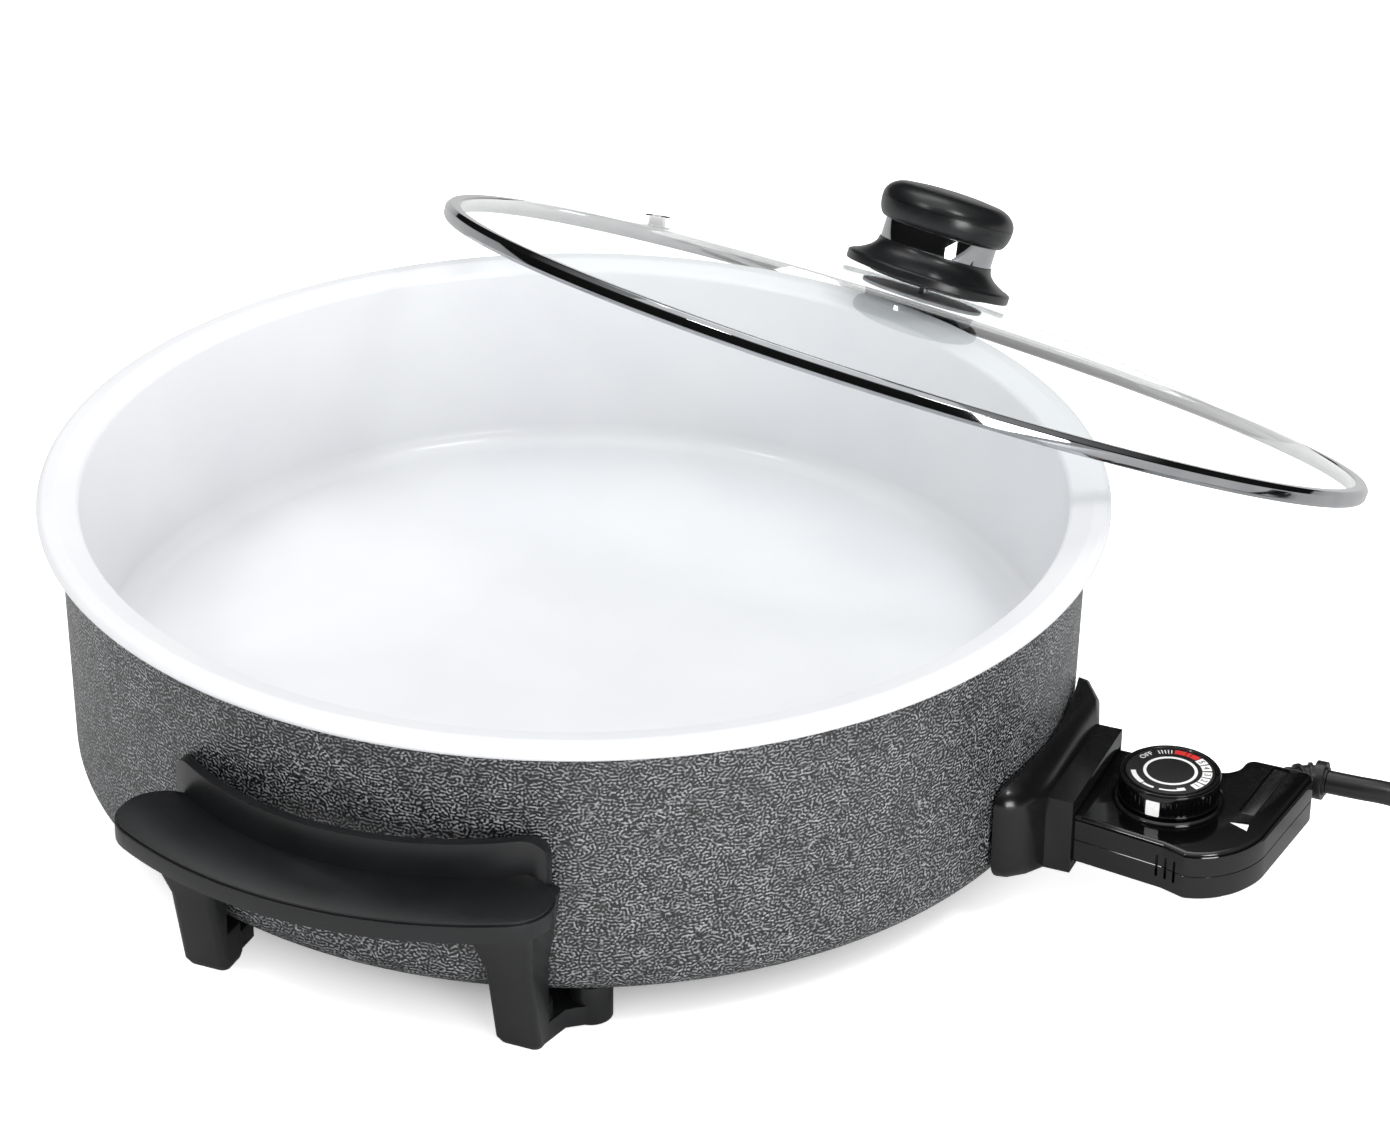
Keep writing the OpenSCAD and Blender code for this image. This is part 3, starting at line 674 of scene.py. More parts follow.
@dataclass
class Studio:
    """Camera, floor and soft light of a product photograph."""

    camera_at: Point3 = (-1.42795, -0.64475, 0.94422)
    look_at: Point3 = (0.02193, -0.04215, 0.08747)
    roll: float = 0.69
    lens: float = 116.547
    # painted light: strength of a pool of emission on the floor that only the camera sees, and the radii
    # where it starts and reaches full strength; nil under the object, so painted shade stays there
    painted_glow: float = 0.75
    painted_glow_start: float = 0.14
    painted_glow_end: float = 0.21
    fill: float = 0.93
    mirrored: float = 0.9
    softboxes: list[tuple[str, Point3, float, float, float]] = field(
        default_factory=lambda: [
            ("overhead", (0.1, 0.1, 2.2), 2.0, 2.0, 8.0),
            ("key", (-0.44, -1.03, 1.66), 0.4, 0.4, 7.0),
            ("front_left", (-1.2, 0.85, 1.8), 0.38, 0.38, 7.0),
            ("low_front", (-1.2, -1.43, 0.35), 0.7, 0.5, 14.0),
            ("back", (1.2, 0.5, 2.2), 1.6, 1.0, 9.0),
        ]
    )

    def aim(self, item: bpy.types.Object, target: Point3, roll: float = 0.0) -> None:
        """Turns a camera or lamp towards a point."""
        way = Vector(target) - item.location
        facing = way.to_track_quat("-Z", "Y").to_matrix().to_4x4()
        item.rotation_euler = (facing @ rotation(roll, "Z")).to_euler()

    def build(self) -> None:
        """Makes the camera, the floor, the lamps and the surround."""
        scene = bpy.context.scene
        lens = bpy.data.cameras.new("camera")
        lens.sensor_width = 36
        lens.lens = self.lens
        lens.clip_end = 50
        camera = bpy.data.objects.new("camera", lens)
        camera.location = self.camera_at
        self.aim(camera, self.look_at, self.roll)
        scene.collection.objects.link(camera)
        scene.camera = camera
        scene.view_settings.view_transform = "Standard"
        self.floor()
        for name, at, width, height, power in self.softboxes:
            self.softbox(name, at, width, height, power)
        world = bpy.data.worlds.new("studio")
        world.use_nodes = True
        world.node_tree.nodes.clear()
        tree = world.node_tree
        fill = add_node(
            tree, "ShaderNodeBackground", values={"Color": (1.0, 1.0, 1.0, 1.0), "Strength": self.fill}
        )
        way = add_node(tree, "ShaderNodeTexCoord").outputs["Generated"]
        height = add_node(tree, "ShaderNodeSeparateXYZ", links={"Vector": way}).outputs["Z"]
        tent = Finish.ramp(
            tree, height, [(0.0, "#1A1A1A"), (0.5, "#262626"), (0.75, "#9A9A9A"), (1.0, "#D8D8D8")]
        )
        seen = add_node(
            tree, "ShaderNodeBackground", values={"Strength": self.mirrored}, links={"Color": tent}
        )
        gloss = self.rough_mirror(tree)
        sky = add_node(
            tree, "ShaderNodeMixShader",
            links={0: gloss, 1: fill.outputs["Background"], 2: seen.outputs["Background"]},
        )
        add_node(tree, "ShaderNodeOutputWorld", links={"Surface": sky.outputs["Shader"]})
        scene.world = world

    def floor(self) -> None:
        """Makes the pale floor."""
        bm = bmesh.new()
        bmesh.ops.create_grid(bm, x_segments=1, y_segments=1, size=6)
        mesh = bpy.data.meshes.new("floor")
        bm.to_mesh(mesh)
        bm.free()
        floor = bpy.data.objects.new("floor", mesh)
        bpy.context.scene.collection.objects.link(floor)
        paper = bpy.data.materials.new("white_paper")
        paper.use_nodes = True
        paper.node_tree.nodes.clear()
        add_node(paper.node_tree, "ShaderNodeOutputMaterial", links={"Surface": self.sheet(paper.node_tree)})
        mesh.materials.append(paper)

    def sheet(self, tree: bpy.types.NodeTree) -> bpy.types.NodeSocket:
        """Builds the floor's shader: white paper with a painted pool of light round the object.

        The emission is painted light that only camera and transmission rays see: it is nil under the object,
        which keeps a painted shadow there, and grows to full strength further out. Glossy things mirror a
        darker painted copy of the floor instead.
        """
        paper = add_node(
            tree, "ShaderNodeBsdfPrincipled",
            values={"Base Color": linear("#FAFAFA"), "Roughness": 0.9, "Specular IOR Level": 0.1},
        ).outputs["BSDF"]
        # darker copy of the floor that glossy rays see: painted shade in reflections
        dim = add_node(tree, "ShaderNodeBsdfDiffuse", values={"Color": linear("#BCBCBC")}).outputs["BSDF"]
        reach = add_node(
            tree, "ShaderNodeVectorMath", settings={"operation": "LENGTH"},
            links={0: add_node(tree, "ShaderNodeTexCoord").outputs["Object"]},
        ).outputs["Value"]
        # painted pool of light: emission rises from nil under the object to full strength further out
        painted_glow = add_node(
            tree, "ShaderNodeMapRange", settings={"interpolation_type": "SMOOTHSTEP"},
            values={
                "From Min": self.painted_glow_start, "From Max": self.painted_glow_end, "To Min": 0.0, "To Max": self.painted_glow,
            },
            links={"Value": reach},
        ).outputs["Result"]
        path = add_node(tree, "ShaderNodeLightPath").outputs
        seen = add_node(
            tree, "ShaderNodeMath", settings={"operation": "MAXIMUM"},
            links={0: path["Is Camera Ray"], 1: path["Is Transmission Ray"]},
        ).outputs["Value"]
        strength = add_node(
            tree, "ShaderNodeMath", settings={"operation": "MULTIPLY"}, links={0: painted_glow, 1: seen}
        ).outputs["Value"]
        light = add_node(tree, "ShaderNodeEmission", links={"Strength": strength}).outputs["Emission"]
        lit = add_node(tree, "ShaderNodeAddShader", links={0: paper, 1: light}).outputs["Shader"]
        return add_node(
            tree, "ShaderNodeMixShader", links={0: self.rough_mirror(tree), 1: lit, 2: dim}
        ).outputs["Shader"]

    def rough_mirror(self, tree: bpy.types.NodeTree) -> bpy.types.NodeSocket:
        """Returns 1 where a glossy but not perfectly smooth surface mirrors what the shader belongs to."""
        path = add_node(tree, "ShaderNodeLightPath").outputs
        return add_node(
            tree, "ShaderNodeMath", settings={"operation": "SUBTRACT", "use_clamp": True},
            links={0: path["Is Glossy Ray"], 1: path["Is Singular Ray"]},
        ).outputs["Value"]

    def softbox(self, name: str, at: Point3, width: float, height: float, power: float) -> None:
        """Makes one soft lamp that faces the object."""
        lamp = bpy.data.lights.new(name, "AREA")
        lamp.shape = "RECTANGLE"
        lamp.size = width
        lamp.size_y = height
        lamp.energy = power
        item = bpy.data.objects.new(name, lamp)
        item.location = at
        self.aim(item, (0.0, 0.0, 0.08))
        bpy.context.scene.collection.objects.link(item)


# ---- Mains lead ----


@dataclass
class MainsLead:
    """The lead from the thermostat to its plug: a fall to the table, a flat coil in two layers, a tail."""

    diameter: float = 9.3
    exit: Point3 = (52.0, -297.5, 33.5)
    fall: list[Point3] = field(
        default_factory=lambda: [
            (52.8, -309, 33.2), (55, -321, 32.2), (57.5, -333, 29.4), (60, -345, 24.4),
            (62, -357, 17.6), (63.6, -369, 10.6), (64.7, -381, 5.4),
        ]
    )
    tail: list[Point3] = field(
        default_factory=lambda: [
            (138, -440, 14.3), (155, -440, 15.4), (172, -440, 17.2), (188, -440, 18.4), (190.5, -440, 18.5),
        ]
    )
    coil_at: Point2 = (121.0, -384.0)
    outer: float = 55.9
    inner: float = 41.4
    low: float = 4.7
    high: float = 14.1
    start: float = 188.2
    turns: float = 3.2272
    plug_at: Point3 = (190.0, -440.0, 18.5)
    tie_wall: float = 1.2
    tie_width: float = 6.0
    tie_turn: float = 60.0
    table_gap: float = 0.05

    def coil(self) -> list[Point3]:
        """Returns the coil's points: in along the table, up, and out on top of the lower turns."""
        steps = 64
        points = []
        rise = 0.055
        for i in range(steps + 1):
            t = i / steps
            half = 0.5
            inward = min(1.0, t / (half - rise)) if t < half else min(1.0, (1 - t) / (half - rise))
            radius = self.outer - (self.outer - self.inner) * inward
            climb = min(1.0, max(0.0, (t - (half - rise)) / (2 * rise)))
            height = self.low + (self.high - self.low) * climb * climb * (3 - 2 * climb)
            angle = math.radians(self.start + 360 * self.turns * t)
            x, y = self.coil_at
            points.append((x + radius * math.cos(angle), y + radius * math.sin(angle), height))
        return points

    def route(self) -> list[Point3]:
        """Returns the whole route from the strain relief to the plug."""
        return [self.exit, *self.fall, *self.coil(), *self.tail]

    def smooth(self, points: list[Point3], steps: int) -> list[Vector]:
        """Returns points on a smooth curve through the route, in metres."""
        found = []
        last = len(points) - 1
        for i in range(last):
            a, b, c, d = (Vector(points[min(max(k, 0), last)]) for k in (i - 1, i, i + 1, i + 2))
            for k in range(steps):
                t = k / steps
                bend = (2 * a - 5 * b + 4 * c - d) * t**2
                found.append(0.5 * (2 * b + (c - a) * t + bend + (3 * b - a - 3 * c + d) * t**3))
        found.append(Vector(points[-1]))
        return [p * MM for p in found]

    def build(self) -> None:
        """Makes the lead, its tie and its plug."""
        path = self.smooth(self.route(), 4)
        curve = bpy.data.curves.new("mains_lead", "CURVE")
        curve.dimensions = "3D"
        curve.bevel_depth = self.diameter / 2 * MM
        curve.bevel_resolution = 6
        curve.use_fill_caps = True
        spline = curve.splines.new("POLY")
        spline.points.add(len(path) - 1)
        for point, at in zip(spline.points, path):
            point.co = (*at, 1.0)
        spline.use_smooth = True
        lead = bpy.data.objects.new("mains_lead", curve)
        bpy.context.scene.collection.objects.link(lead)
        dress(lead, LEAD_PVC, Body.PROBE, ("cord_lead", "cord_coil", "cord_tail"))
        tie = self.tie()
        plug = self.plug()
        nodes = [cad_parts[n] for n in ("plug_pins", "plug_earth_strips")]
        for node in nodes:
            dress(node, ZINC)

    def tie(self) -> bpy.types.Object:
        """Makes the strap that holds the coil's turns together."""
        left = self.inner - self.diameter / 2 - self.tie_wall
        right = self.outer + self.diameter / 2 + self.tie_wall
        top = self.high + self.diameter / 2 + self.tie_wall
        low = self.table_gap
        loop = Mesher()
        loop.outline([(left, low, 1.5), (right, low, 1.5), (right, top, 3), (left, top, 3)])
        ring = bmesh.ops.inset_region(
            loop.bm, faces=loop.bm.faces[:], thickness=self.tie_wall, use_even_offset=True, use_boundary=True
        )["faces"]
        bmesh.ops.delete(loop.bm, geom=[f for f in loop.bm.faces if f not in ring], context="FACES")
        loop.extrude((0, self.tie_width, 0))
        middle = Matrix.Translation((0, -self.tie_width / 2, 0))
        at = Matrix.Translation((*self.coil_at, 0)) @ rotation(self.tie_turn, "Z") @ middle
        return dress(loop.place(at).piece("lead_tie"), SEAL_RUBBER, Body.PROBE, ("cord_tie",))

    def plug(self) -> bpy.types.Object:
        """Makes the round mains plug with its ribbed neck."""
        section = [(0, 0, 0), (7, 0, 1), (7.6, 5, 0.5)]
        for i in range(4):
            z = 5 + 2.2 * i
            wider = i * 1.1
            section += [(8.6 + wider, z + 0.4, 0.3), (8.8 + wider, z + 1.4, 0.3), (8.0 + wider, z + 1.8, 0.2)]
        section += [(16.2, 19, 2), (18.4, 24, 2), (18.4, 39.8, 0.8), (0, 39.8, 0)]
        at = Matrix.Translation(self.plug_at) @ rotation(-90, "Z") @ rotation(-90, "X")
        body = Mesher().turn(section, 96).place(at).piece("mains_plug")
        grooves = []
        for side in (-1, 1):
            box = Mesher()
            bmesh.ops.create_cube(box.bm, size=1)
            box.place(at @ Matrix.Translation((side * 19, 0, 32)) @ Matrix.Diagonal((5.9, 9, 20, 1)))
            grooves.append(box.piece("groove"))
        return dress(cut(body, grooves, Shade.CREASED), LEAD_PVC, Body.PROBE, ("plug_body",))


# ---- Pan and casing ----


@dataclass
class Pan:
    """Ceramic-coated pan with a broad flat rim, hung in the painted casing."""

    rim_r: float = 209.97
    rim_h: float = 130.0
    floor_z: float = 48.0
    top_r: float = 193.6
    casing_r: float = 201.4
    casing_z: float = 16.5
    wall: float = 4.0
    rim_t: float = 6.0
    sheet: float = 1.5
    taper: float = 2.1
    seam: float = 0.05

    def build(self) -> None:
        """Makes the pan and the casing and finishes what is between them."""
        rim = self.rim_h
        pan = Mesher().turn(
            [
                (0, self.floor_z, 0), (self.top_r - 3.6, self.floor_z, 9), (self.top_r, rim - 2, 2.2),
                (203, rim, 5), (self.rim_r, rim, 3), (self.rim_r, rim - self.rim_t, 2.9),
                (self.top_r + 3, rim - self.rim_t, 2), (self.top_r - 0.6, self.floor_z - self.wall, 12),
                (0, self.floor_z - self.wall, 0),
            ],
            256,
        )
        dress(pan.piece("ceramic_pan"), CERAMIC, Body.BASE, ("pan",))
        low = self.casing_z
        foot = self.casing_r - self.taper
        top = rim - self.rim_t - self.seam
        casing = Mesher().turn(
            [
                (0, low, 0), (foot, low, 13), (self.casing_r, top, 0), (self.casing_r - self.sheet, top, 0),
                (foot - self.sheet, low + self.sheet, 11.5), (0, low + self.sheet, 0),
            ],
            256,
        )
        dress(casing.piece("painted_casing"), PAINT, Body.BASE, ("casing",))
        dress_nodes(
            {
                ALUMINIUM: ("heat_plate", "sleeve_saddle"),
                STEATITE: ("pin_bushes",),
                ZINC: (
                    "heating_element", "element_clips", "terminal_pins", "sensor_sleeve", "pan_studs",
                    "stud_nuts",
                ),
            }
        )


@dataclass
class SideHandles:
    """The two Bakelite handles, each with its grip, heat guard and legs in one moulding."""

    edge_round: float = 0.9

    def build(self) -> None:
        """Makes both mouldings and finishes their screws."""
        for side in ("left", "right"):
            piece = moulded_copy(f"handle_{side}", f"side_handle_{side}", self.edge_round)
            dress(piece, BAKELITE, Body.BASE, (f"handle_{side}",))
        dress_nodes({ZINC: ("handle_screws", "handle_nuts")})


@dataclass
class Socket:
    """The shield on the wall with the collar that the thermostat plugs into."""

    edge_round: float = 0.8

    def build(self) -> None:
        """Makes the moulding and finishes its screws."""
        piece = moulded_copy("socket_shield", "wall_socket", self.edge_round, 50, Shade.ROUND)
        dress(piece, PHENOLIC, Body.BASE, ("socket_shield",))
        dress_nodes({ZINC: ("socket_screws",)})


# ---- Lid ----


@dataclass
class Lid:
    """Loose glass lid: a pressed dome in a steel band, with a vent and a turned knob."""

    radius: float = 204.0
    band_h: float = 7.0
    dome_h: float = 31.5
    glass_t: float = 4.0
    shift: float = 205.0
    rise: float = -21.0
    tilt: float = 25.4
    direction: float = -18.5
    seat: float = 3.0
    seat_shift: float = 2.0
    edge_z: float = 6.0
    rim_h: float = 130.0
    vent_reach: float = 145.0
    vent_turn: float = 91.0

    @property
    def dome_r(self) -> float:
        """Radius of the dome's outer face."""
        reach, rise = self.radius - 4, self.dome_h - self.edge_z
        return (reach * reach + rise * rise) / (2 * rise)

    def loose(self) -> Matrix:
        """Returns the turn and shift from the lid's own middle to where it lies loose."""
        drop = self.rise - self.seat
        run = self.shift - self.seat_shift
        k = 1 / (2 * math.tan(math.radians(self.tilt / 2)))
        along = self.seat_shift + run / 2 + drop * k
        height = self.rim_h + (self.rise + self.seat) / 2 - run * k
        way = math.radians(self.direction)
        ahead = Vector((math.cos(way), math.sin(way), 0))
        pivot = ahead * along + Vector((0, 0, height))
        axis = Vector((-math.sin(way), math.cos(way), 0))
        return (
            Matrix.Translation(pivot)
            @ rotation(self.tilt, axis)
            @ Matrix.Translation(-pivot)
            @ Matrix.Translation(ahead * self.seat_shift + Vector((0, 0, self.rim_h + self.seat)))
            @ Matrix.Rotation(way, 4, "Z")
        )

    def turned(
        self, name: str, section: list[Point3], finish: Finish, nodes: tuple[str, ...],
        lift: float = 0.0, steps: int = 128,
    ) -> bpy.types.Object:
        """Turns one of the lid's round pieces and puts it where the lid lies."""
        at = self.loose() @ Matrix.Translation((0, 0, lift))
        return dress(Mesher().turn(section, steps).place(at).piece(name), finish, Body.LID, nodes)

    def dome(self) -> None:
        """Makes the glass."""
        centre = self.dome_h - self.dome_r
        edge = self.radius - 1.6
        outer = self.dome_r
        inner = outer - self.glass_t
        top = math.degrees(math.acos(edge / outer))
        low = math.degrees(math.acos(edge / inner))
        section = arc(0, centre, outer, 90, top, 36) + arc(0, centre, inner, low, 90, 36)
        self.turned("lid_dome", section, GLASS, ("lid_glass",), steps=256)

    def band(self) -> None:
        """Makes the steel band that is folded round the glass."""
        r, h = self.radius, self.band_h
        section = [
            (r - 6.4, 0.6, 0.5), (r - 5.4, 0.1, 0.4), (r - 1.2, 0.1, 1.0), (r - 0.2, 1.6, 0.6),
            (r, h - 2, 0.8), (r - 1.6, h, 1.2), (r - 5.6, h, 0.5), (r - 6.4, h - 0.5, 0.3),
        ]
        self.turned("lid_rim_band", section, CHROME, ("lid_band",), steps=256)

    def vent(self) -> None:
        """Makes the steam vent's eyelet."""
        lean = math.asin(self.vent_reach / self.dome_r)
        at = (
            self.loose()
            @ rotation(self.vent_turn, "Z")
            @ Matrix.Translation((0, 0, self.dome_h - self.dome_r))
            @ Matrix.Rotation(lean, 4, "Y")
            @ Matrix.Translation((0, 0, self.dome_r - self.glass_t / 2))
        )
        t = self.glass_t / 2
        section = [
            (2, -t - 1, 0.3), (5.6, -t - 1, 0.4), (6, -t - 0.1, 0.1), (3.8, -t - 0.1, 0), (3.8, t + 0.1, 0),
            (6, t + 0.1, 0.2), (5.4, t + 0.9, 0.3), (2.6, t + 1, 0.3), (2, t + 0.4, 0.2),
        ]
        piece = Mesher().turn(section, 48).place(at).piece("steam_vent")
        dress(piece, CHROME, Body.LID, ("lid_vent",))

    def knob(self) -> None:
        """Makes the knob with its ring, seal, washer and screw."""
        base = self.dome_h + 0.8
        flare = [(24.8 + 9.0 * (1 - t) ** 2.2, 5.0 + 8.2 * t, 0.0) for t in (i / 16 for i in range(17))]
        skirt = [
            (2, 0, 0), (31, 0, 1), (35.7, 0.6, 0.5), (35.7, 4.2, 0.7), (34.2, 5.0, 0.4), *flare[1:],
            (2, 13.2, 0),
        ]
        self.turned("knob_foot", skirt, BAKELITE, ("knob_skirt",), base)
        ring = [(2, 13.2, 0), (24.3, 13.2, 0.2), (24.3, 21.9, 0.2), (2, 21.9, 0)]
        self.turned("knob_steel_ring", ring, CHROME, ("knob_ring",), base)
        quarter = [math.radians(90 * i / 12) for i in range(13)]
        cap = [
            (2, 21.8, 0), *((24.8 + 4.0 * math.sin(a), 30.3 - 8.5 * math.cos(a), 0.0) for a in quarter),
            (28.5, 30.4, 0), (28.5, 30.6, 0),
            *((18.8 + 10.0 * math.cos(a), 30.7 + 7.8 * math.sin(a), 0.0) for a in quarter[:11]),
            (14, 39.1, 60), (0, 39.9, 0), (0, 30, 0), (2, 30, 0),
        ]
        self.turned("knob_grip", cap, BAKELITE, ("knob_cap",), base)
        seal = [(4.2, self.dome_h + 0.1, 0), (24.6, self.dome_h - 0.5, 0.2), (24.6, base, 0), (4.2, base, 0)]
        self.turned("knob_seal", seal, SEAL_RUBBER, ("knob_gasket",))
        high = self.dome_h - self.glass_t - 0.6
        low = high - 1.6
        washer = [(2.3, low, 0.3), (26, low, 0.6), (26.4, high, 0.5), (2.3, high, 0)]
        self.turned("knob_under_washer", washer, SILICONE, ("knob_washer",))
        dress_nodes({ZINC: ("knob_screw",)})

    def build(self) -> None:
        """Makes the whole lid."""
        self.dome()
        self.band()
        self.vent()
        self.knob()


# ---- Thermostat ----


@dataclass
class Thermostat:
    """Plug-in thermostat: a glossy case in two shells with an arm, and the lead's strain relief."""

    axis_z: float = 33.5
    half_h: float = 9.9
    front_y: float = -214.0
    dial_at: Point2 = (-1.0, -249.0)
    label_at: Point2 = (19.2, -281.2)
    label_turn: float = -4.6
    seam: float = 0.06
    top_round: float = 2.2
    low_round: float = 1.2

    def outline(self) -> list[Point3]:
        """Returns the case's outline from above, with its corner fillets."""
        return [
            (27.8, self.front_y, 3), (27.8, -224, 0), (25, -256, 6), (29.5, -266.8, 8), (40.9, -268.2, 4.5),
            (40.6, -296.2, 5), (-20.5, -289.6, 30), (-34.5, -275.5, 22), (-36.6, -266.8, 3), (-33.3, -257, 4),
            (-28.6, -224, 0), (-27.8, self.front_y, 3),
        ]

    def shell(self, name: str, low: float, high: float, top: bool) -> bpy.types.Object:
        """Makes one half of the case with a rounded outer edge and a fine step at the parting line."""
        mesher = Mesher().raise_outline(self.outline(), low, high)
        rim = high if top else low
        part = low if top else high
        width = self.top_round if top else self.low_round
        mesher.soften(lambda e: all(abs(v.co.z - rim) < 1e-4 for v in e.verts), width, 5)
        mesher.soften(lambda e: all(abs(v.co.z - part) < 1e-4 for v in e.verts), 0.18, 1)
        return mesher.piece(name)

    def slots(self) -> list[bpy.types.Object]:
        """Makes the cutters of the three narrow slots in the side wall."""
        made = []
        for i in range(3):
            cutter = Mesher().raise_slot(1.1, 9.6, 6.0)
            cutter.place(Matrix.Translation((-33.4 - 0.7 * i, -255 - 3.75 * i, self.axis_z)))
            made.append(cutter.piece("slot"))
        return made

    def label_window(self) -> bpy.types.Object:
        """Makes the cutter of the label's recess."""
        top = self.axis_z + self.half_h
        cutter = Mesher().raise_outline(self.label(18.9, 3.6, 1.6), top - 0.8, top + 1)
        return cutter.place(self.label_place()).piece("window")

    def label(self, half: float, high: float, fillet: float) -> list[Point3]:
        """Returns a rounded oblong about the label's middle."""
        return [(x * half, y * high, fillet) for x, y in ((-1, -1), (1, -1), (1, 1), (-1, 1))]

    def label_place(self) -> Matrix:
        """Returns the turn and shift to the label's middle."""
        return Matrix.Translation((*self.label_at, 0)) @ rotation(self.label_turn, "Z")

    def pointer(self) -> None:
        """Makes the printed triangle that the dial is read against."""
        mark = Mesher().raise_outline([(-8, -275.6, 0), (-11.4, -283.2, 0), (-6.8, -282.7, 0)], 0, 0.06)
        mark.place(Matrix.Translation((0, 0, self.axis_z + self.half_h - 0.02)))
        dress(mark.piece("dial_pointer"), WHITE_INK, Body.PROBE)

    def build(self) -> None:
        """Makes the case, its ring, plate and strain relief, and finishes the works inside."""
        z, h = self.axis_z, self.half_h
        cutters = [*self.slots(), self.label_window()]
        upper = cut(self.shell("upper_case", z + self.seam, z + h, True), cutters, Shade.CREASED)
        dress(upper, GLOSS_ABS, Body.PROBE, ("probe_top_shell",))
        lower = cut(self.shell("lower_case", z - h, z - self.seam, False), self.slots(), Shade.CREASED)
        dress(lower, GLOSS_ABS, Body.PROBE, ("probe_bottom_shell",))
        ring = [
            (17.8, z + h - 1, 0), (21.5, z + h - 1, 0), (21.5, z + h + 0.9, 0.8), (20.3, z + h + 1.6, 0.3),
            (17.8, z + h + 1.6, 0),
        ]
        at = Matrix.Translation((*self.dial_at, 0))
        dress(Mesher().turn(ring, 128).place(at).piece("dial_seat_ring"), GLOSS_ABS, Body.PROBE)
        plate = Mesher().raise_outline(self.label(18.3, 3.0, 1.1), z + h - 1.1, z + h - 0.35)
        plate.soften(lambda e: all(abs(v.co.z - (z + h - 0.35)) < 1e-4 for v in e.verts), 0.25, 2)
        dress(plate.place(self.label_place()).piece("bare_label"), PLATE_ABS, Body.PROBE, ("label_plate",))
        self.pointer()
        dress(moulded_copy("strain_relief", "lead_elbow", 0.4), LEAD_PVC, Body.PROBE, ("strain_relief",))
        dress_nodes(
            {
                ZINC: ("shell_screws", "sensor_rod", "thermostat_frame", "clamp_screws"),
                BRASS: ("contact_sleeves", "contact_blade"),
                STEATITE: ("sleeve_carrier", "switch_spacers", "cord_clamp"),
                BIMETAL: ("bimetal_strip",),
            }
        )


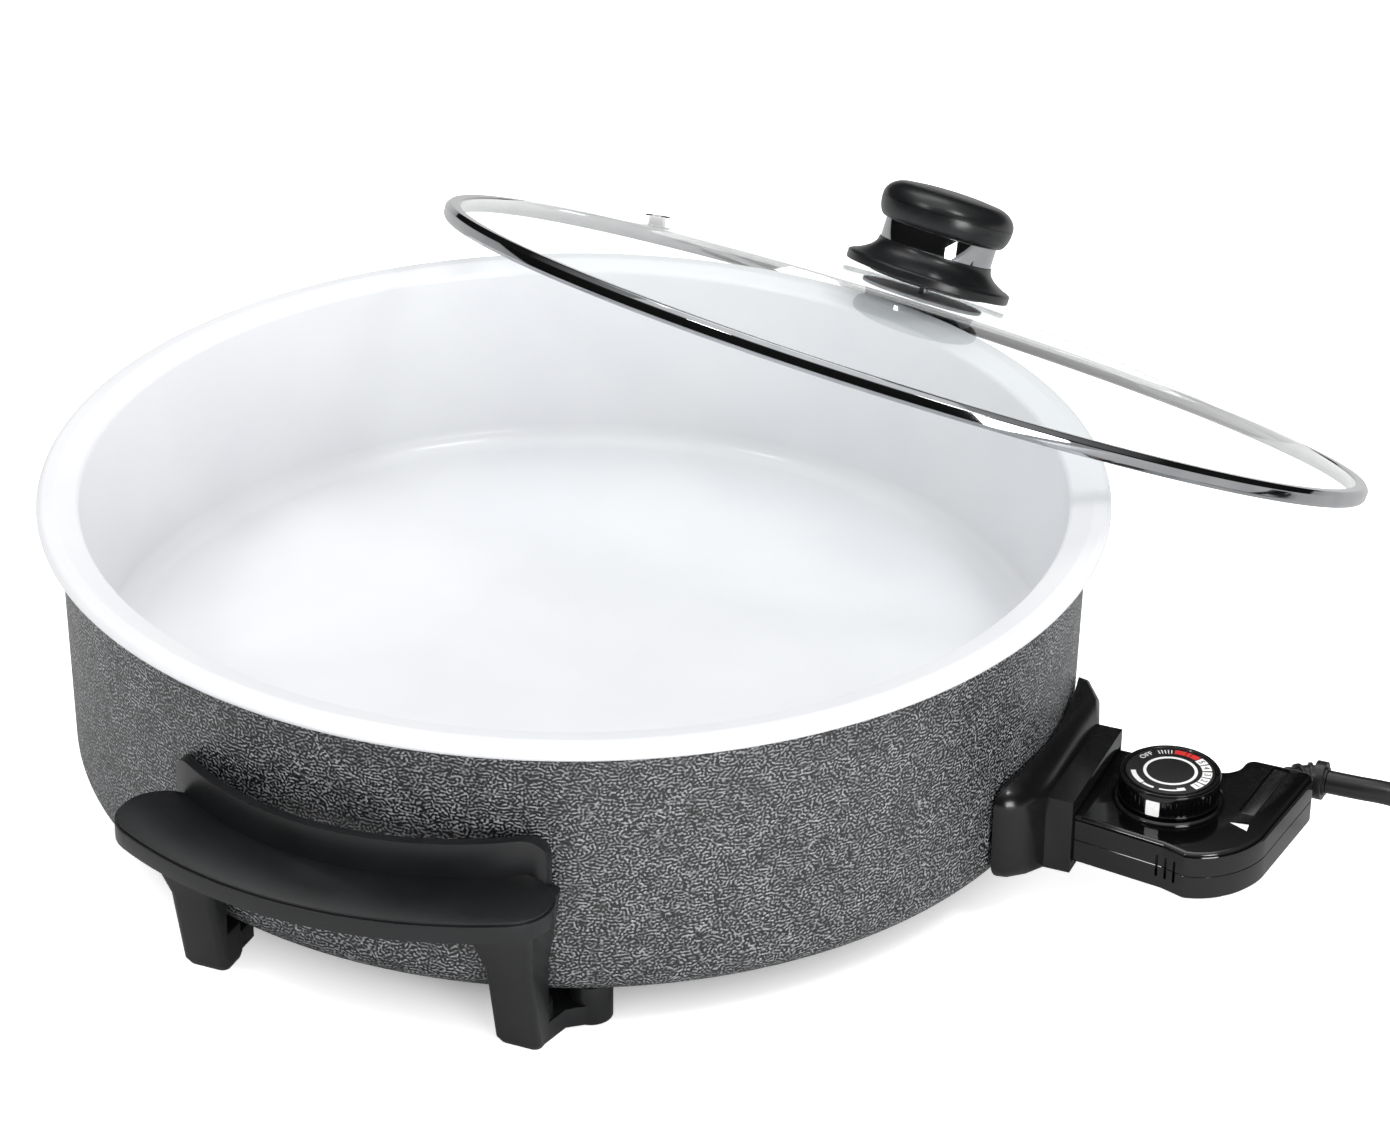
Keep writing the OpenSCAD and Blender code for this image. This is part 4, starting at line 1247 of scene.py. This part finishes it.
@dataclass
class Dial:
    """Ribbed temperature dial with a printed face."""

    at: Point2 = (-1.0, -249.0)
    low: float = 45.6
    height: float = 10.4
    radius: float = 19.65
    ribs: int = 56
    front: float = -67.1
    numbers: tuple[float, ...] = (-50, -31, -12, 8, 27)

    def here(self) -> Matrix:
        """Returns the shift to the dial's axis."""
        return Matrix.Translation((*self.at, 0))

    def knob(self) -> None:
        """Makes the knob: a smooth top band, ribs below it and a narrow foot ring."""
        r, z = self.radius, self.low
        top = z + self.height
        section = [
            (3.2, z, 0), (r - 0.2, z, 0.2), (r - 0.2, z + 1.0, 0.2), (r - 1.0, z + 1.2, 0),
            (r - 1.0, z + 7.0, 0), (r - 0.1, z + 7.4, 0.3), (r - 0.1, z + 9.6, 0.5), (r - 0.7, top, 0.4),
            (r - 2.0, top, 0.3), (r - 2.4, top - 0.5, 0), (3.2, top - 0.5, 0),
        ]
        body = Mesher().turn(section, 168)
        for i in range(self.ribs):
            rib = bmesh.ops.create_cube(
                body.bm,
                size=1,
                matrix=Matrix.Rotation(2 * math.pi * i / self.ribs, 4, "Z")
                @ Matrix.Translation((r - 0.9, 0, z + 4.1))
                @ Matrix.Diagonal((1.2, 0.95, 6.6, 1)),
            )
            edges = {e for v in rib["verts"] for e in v.link_edges}
            upright = [e for e in edges if abs((e.verts[0].co - e.verts[1].co).z) > 5]
            outer = [e for e in upright if e.verts[0].co.xy.length > r - 0.8]
            bmesh.ops.bevel(
                body.bm, geom=outer, offset=0.4, offset_type="OFFSET", affect="EDGES", segments=2,
                profile=0.5, material=-1,
            )
        dress(body.place(self.here()).piece("ribbed_dial"), GLOSS_ABS, Body.DIAL, ("dial_knob",))

    def sector(self, start: float, end: float, inner: float, outer: float) -> Mesher:
        """Makes a thin printed sector between two angles and two radii, on the dial's face."""
        mesher = Mesher()
        a = math.radians(start)
        first = [mesher.bm.verts.new((r * math.cos(a), r * math.sin(a), 0)) for r in (inner, outer)]
        edge = mesher.bm.edges.new(first)
        span = math.radians(end - start)
        whole = abs(end - start) >= 359.9
        bmesh.ops.spin(
            mesher.bm, geom=[*first, edge], cent=(0, 0, 0), axis=(0, 0, 1), angle=span,
            steps=max(3, int(abs(end - start) / 3)), use_merge=whole,
        )
        mesher.extrude((0, 0, 0.06))
        return mesher.place(self.here() @ Matrix.Translation((0, 0, self.low + self.height - 0.1)))

    def figure(self, text: str, turn: float, reach: float, size: float) -> bpy.types.Mesh:
        """Makes one printed number or word that stands outwards on the face."""
        curve = bpy.data.curves.new("figure", "FONT")
        curve.body = text
        curve.size = size
        curve.align_x = "CENTER"
        curve.align_y = "CENTER"
        curve.extrude = 0.03
        maker = bpy.data.objects.new("figure", curve)
        bpy.context.scene.collection.objects.link(maker)
        mesh = bpy.data.meshes.new_from_object(maker.evaluated_get(bpy.context.evaluated_depsgraph_get()))
        bpy.data.objects.remove(maker)
        at = (
            self.here()
            @ rotation(turn, "Z")
            @ Matrix.Translation((reach, 0, self.low + self.height))
            @ rotation(-90, "Z")
        )
        mesh.transform(Matrix.Scale(MM, 4) @ at)
        return mesh

    def face(self) -> None:
        """Makes the face and its printing."""
        top = self.low + self.height
        edge = self.radius - 2.7
        cap = Mesher().turn(
            [(0, top - 0.6, 0), (edge, top - 0.6, 0), (edge, top - 0.1, 0.1), (0, top - 0.1, 0)], 96
        )
        dress(cap.place(self.here()).piece("dial_face"), FACE_ABS, Body.DIAL, ("dial_cap",))
        base = self.front
        marks = [(0, 360, 9.2, 10.4)]
        marks += [(base + a - 8, base + a + 8, 12.2, 15.9) for a in self.numbers]
        marks += [(base + 178, base + 216, 13.2, 15.1), (base + 218, base + 238, 13.8, 14.9)]
        marks += [(base + 247, base + 288, 13.9, 14.8), (base + 275, base + 288, 12.9, 13.9)]
        marks += [(base + a, base + a + 1.5, 12.8, 15.3) for a in (82, 87, 92, 97, 102)]
        for i, (start, end, inner, outer) in enumerate(marks):
            dress(self.sector(start, end, inner, outer).piece(f"dial_print_{i}"), WHITE_INK, Body.DIAL)
        for i, (start, end) in enumerate([(60, 78), (52, 58.5), (37, 50.5)]):
            piece = self.sector(base + start, base + end, 12.8, 15.6).piece(f"dial_red_{i}")
            dress(piece, RED_INK, Body.DIAL)

    def figures(self) -> None:
        """Makes the numbers and the word of the off position."""
        base = self.front
        for i, a in enumerate(self.numbers):
            piece = shown(f"dial_number_{i + 1}", self.figure(str(i + 1), base + a, 14.0, 3.6), Shade.CREASED)
            dress(piece, FACE_ABS, Body.DIAL)
        piece = shown("dial_off_word", self.figure("OFF", base + 126, 14.0, 3.4), Shade.CREASED)
        dress(piece, WHITE_INK, Body.DIAL)

    def index(self) -> None:
        """Makes the white index block on the dial's side."""
        mesher = Mesher()
        bmesh.ops.create_cube(mesher.bm, size=1, matrix=Matrix.Diagonal((1.0, 5.4, 6.4, 1)))
        mesher.soften(lambda e: abs((e.verts[0].co - e.verts[1].co).x) > 0.5, 0.6, 3)
        out = Matrix.Translation((self.radius - 0.62, 0, self.low + 4.2))
        at = self.here() @ rotation(178, "Z") @ out
        dress(mesher.place(at).piece("dial_index"), WHITE_INK, Body.DIAL)

    def build(self) -> None:
        """Makes the whole dial."""
        self.knob()
        self.face()
        self.figures()
        self.index()
        dress_nodes({ZINC: ("dial_shaft",)})


def main() -> None:
    """Builds the stage and every sub-assembly in order."""
    logging.basicConfig(level=logging.INFO, format="%(message)s")
    for maker in (Studio(), MainsLead(), Pan(), SideHandles(), Socket(), Lid(), Thermostat(), Dial()):
        maker.build()


if __name__ == "__main__":
    main()
